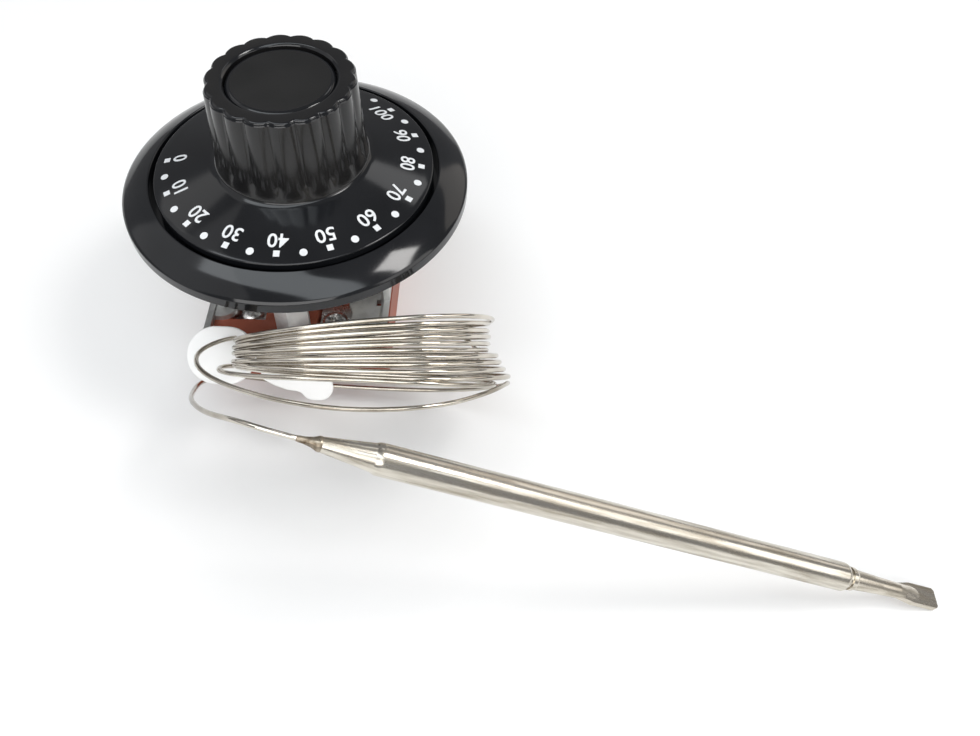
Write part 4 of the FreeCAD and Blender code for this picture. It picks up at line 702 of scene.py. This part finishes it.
def makeMarks():
    shape = markShape
    pieces = []
    for value in range(0, shape["last"] + 1, shape["every"]):
        angle = shape["zeroAngle"] + value * shape["anglePerUnit"]
        deselectAll()
        if value % shape["numbered"] == 0:
            mark = makeSquare()
        else:
            bpy.ops.mesh.primitive_cylinder_add(vertices=shape["dotSides"], radius=shape["dot"] * mm,
                                                depth=shape["tall"] * mm)
            mark = bpy.context.object
        laidOnCone(mark, angle, shape["radius"])
        pieces.append(mark)
        if value % shape["numbered"] == 0:
            number = makeNumber(value)
            laidOnCone(number, angle, shape["digitRadius"])
            pieces.append(number)
    marks = joinAll(pieces, "dial_marks")
    cleanMesh(marks, smoothAngle=30)
    return marks


# Stage: a pale floor with a painted shadow under the coil, and soft light
stageLook = {
    "size": 6, "level": -0.00002, "colour": 0.82, "rough": 0.8, "sheen": 0.1,
    # the floor's glow near the object and far from it, and how much of it reflections see
    "glow": 0.2, "farGlow": 1.0, "near": 0.35, "far": 1.6, "mirrored": 0.4,
    # painted shadow on the floor under the coil: around this spot the glow falls to this share, so the floor
    # there is darker
    "core": (0.008, -0.048, 0), "coreShare": 0.1, "coreNear": 0.02, "coreFar": 0.052,
}


def makeStage():
    # the camera sees the floor lifted by a glow, which leaves the object's own light as it is
    look = stageLook
    deselectAll()
    bpy.ops.mesh.primitive_plane_add(size=look["size"], location=(0, 0, look["level"]))
    floor = bpy.context.object
    floor.name = "bench_top"
    material, tree, shader = newMaterial("bench_white")
    grey = look["colour"]
    shader.inputs["Base Color"].default_value = (grey, grey, grey, 1)
    shader.inputs["Roughness"].default_value = look["rough"]
    shader.inputs["Specular IOR Level"].default_value = look["sheen"]
    shader.inputs["Emission Color"].default_value = (1, 1, 1, 1)
    path = addNode(tree, "ShaderNodeLightPath")
    mirrored = addMath(tree, "MULTIPLY", path.outputs["Is Glossy Ray"], look["mirrored"])
    seen = addMath(tree, "MAXIMUM", path.outputs["Is Camera Ray"], mirrored)
    # the glow grows with the distance from the object, so the far floor stays white too
    place = addNode(tree, "ShaderNodeTexCoord")
    reach = addNode(tree, "ShaderNodeVectorMath", operation="LENGTH")
    tree.links.new(place.outputs["Object"], reach.inputs[0])
    strength = spread(tree, reach.outputs["Value"], look["glow"], look["farGlow"], look["near"], look["far"])
    # it is weaker around a spot under the coil, where the deepest shadow lies: a painted shadow on the floor
    core = addNode(tree, "ShaderNodeVectorMath", operation="DISTANCE")
    core.inputs[1].default_value = look["core"]
    tree.links.new(place.outputs["Object"], core.inputs[0])
    # this share is the painted shadow: the glow's share, lowest at the spot under the coil
    share = spread(tree, core.outputs["Value"], look["coreShare"], 1.0, look["coreNear"], look["coreFar"])
    glow = addMath(tree, "MULTIPLY", addMath(tree, "MULTIPLY", strength, share), seen)
    tree.links.new(glow, shader.inputs["Emission Strength"])
    floor.data.materials.append(material)


lampSet = (
    # place, width, height, power, colour; each lamp looks at the object's middle
    ((-0.79, 0.71, 0.96), 0.4, 0.34, 0.27, (1, 0.99, 0.97)),
    ((0.36, 0.94, 1.05), 0.3, 0.26, 0.34, (1, 1, 1)),
    ((-0.13, -0.3, 1.3), 1.7, 0.46, 6.6, (0.9, 0.96, 1)),
    ((0.68, 0.0, 1.02), 0.33, 0.33, 4.0, (1, 0.99, 0.97)),
    ((-0.12, -1.05, 0.82), 1.2, 0.75, 8.2, (1, 0.99, 0.98)),
    ((1.0, -0.28, 0.6), 0.7, 0.66, 2.3, (1, 0.985, 0.96)),
    ((0.95, 0.85, 0.55), 0.8, 0.6, 1.2, (1, 0.93, 0.85)),
    ((-1.0, -0.1, 0.9), 1.3, 1.2, 1.9, (1, 1, 1)),
)
lampAim = (0.02, -0.03, 0.03)
roomLook = {"colour": (0.98, 0.98, 1, 1), "light": 0.2, "reflected": 0.24}


def makeLights():
    for index, (place, width, height, power, colour) in enumerate(lampSet):
        data = bpy.data.lights.new("soft_light_%d" % index, "AREA")
        data.shape = "RECTANGLE"
        data.size = width
        data.size_y = height
        data.energy = power
        data.color = colour
        lamp = bpy.data.objects.new(data.name, data)
        lamp.location = place
        lamp.rotation_euler = (Vector(lampAim) - Vector(place)).to_track_quat("-Z", "Y").to_euler()
        bpy.context.scene.collection.objects.link(lamp)


def makeRoom():
    world = bpy.data.worlds.new("soft_room")
    world.use_nodes = True
    tree = world.node_tree
    background = tree.nodes["Background"]
    background.inputs["Color"].default_value = roomLook["colour"]
    # white where the camera sees it, dimmer in reflections and as light
    path = addNode(tree, "ShaderNodeLightPath")
    shown = addMath(tree, "MAXIMUM", path.outputs["Is Glossy Ray"], path.outputs["Is Transmission Ray"])
    more = addMath(tree, "MULTIPLY", shown, roomLook["reflected"] - roomLook["light"])
    dim = addMath(tree, "ADD", more, roomLook["light"])
    white = addMath(tree, "MAXIMUM", path.outputs["Is Camera Ray"], dim)
    tree.links.new(white, background.inputs["Strength"])
    bpy.context.scene.world = world
    bpy.context.scene.view_settings.view_transform = "Standard"


# Build

makeCamera()

wireSteel = makeMetal("wire_steel", wireLook, scale=60, bump=0.0)
capillary = makeCapillary(wireSteel)
print("capillary made")

# the bulb's and the stem's grain is drawn out along the bulb's line
bulbTurn = (0, math.radians(bulbLine["grainTurn"]), 0)
bulbSteel = makeMetal("bulb_steel", bulbLook, scale=900, stretch=(1, 1, 12), turn=bulbTurn, bump=0.3)
stemSteel = makeMetal("stem_steel", stemLook, scale=900, stretch=(1, 1, 6), turn=bulbTurn, bump=0.25)
brazeMetal = makeMetal("braze_metal", brazeLook, scale=700)
braze = makeBraze()
dress(braze, "frame", "braze", brazeMetal, "bulb_braze")

whitePlastic = makePlastic("white_plastic", whiteLook)
tie = makeTie()
dress(tie, "frame", "tie_white", whitePlastic, "coil_tie")
print("bulb and strap made")

glossBlack = makePlastic("gloss_black", glossBlackLook)
gripBlack = makePlastic("grip_black", gripBlackLook, grain=1500)
capBlack = makePlastic("cap_black", capBlackLook, grain=2600)
printWhite = makePlastic("print_white", printLook)
bezel = makeBezel()
dress(bezel, "frame", "bezel_black", glossBlack, "bezel_ring")
knob = makeKnob()
dress(knob, "dial", "knob_black", glossBlack, "control_knob")
finishBand(knob, gripBlack, gripFinish)
cap = makeCap()
dress(cap, "dial", "knob_black", capBlack, "knob_cap")
finishBand(cap, glossBlack, capRimFinish)
marks = makeMarks()
dress(marks, "dial", "tie_white", printWhite)
print("bezel, knob and dial made")

# the other parts keep their own shape and get a finish
nodeFinishes = (
    (makeMetal("zinc_sheet", zincLook, scale=180), ("stop_washer", "mounting_bracket", "pressure_lever")),
    (makeMetal("screw_steel", screwLook, scale=500),
     ("panel_screws", "base_rivets", "common_terminal", "load_terminal", "terminal_screws", "capsule_cup",
      "diaphragm", "capsule_gland")),
    (makeMetal("brass", brassLook, scale=300),
     ("spindle_bush", "calibration_screw", "setting_nut", "contact_blade")),
    (makeMetal("spring_steel", springLook, scale=500),
     ("spindle", "spindle_clip", "lever_pin", "range_spring")),
    (makeMetal("contact_silver", silverLook, scale=600), ("moving_contact", "fixed_contact")),
    (makePlastic("base_brown", brownLook, grain=1200), ("switch_base", "base_cover")),
    (makePlastic("ceramic", ceramicLook, grain=1500), ("push_pin", "striker_pin")),
    (bulbSteel, ("sensing_bulb",)),
    (stemSteel, ("filling_tube",)),
    (wireSteel, ("capillary_root",)),
)
for material, names in nodeFinishes:
    for name in names:
        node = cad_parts[name]
        node.data.materials.clear()
        node.data.materials.append(material)
print("carried parts finished")

makeStage()
makeLights()
makeRoom()
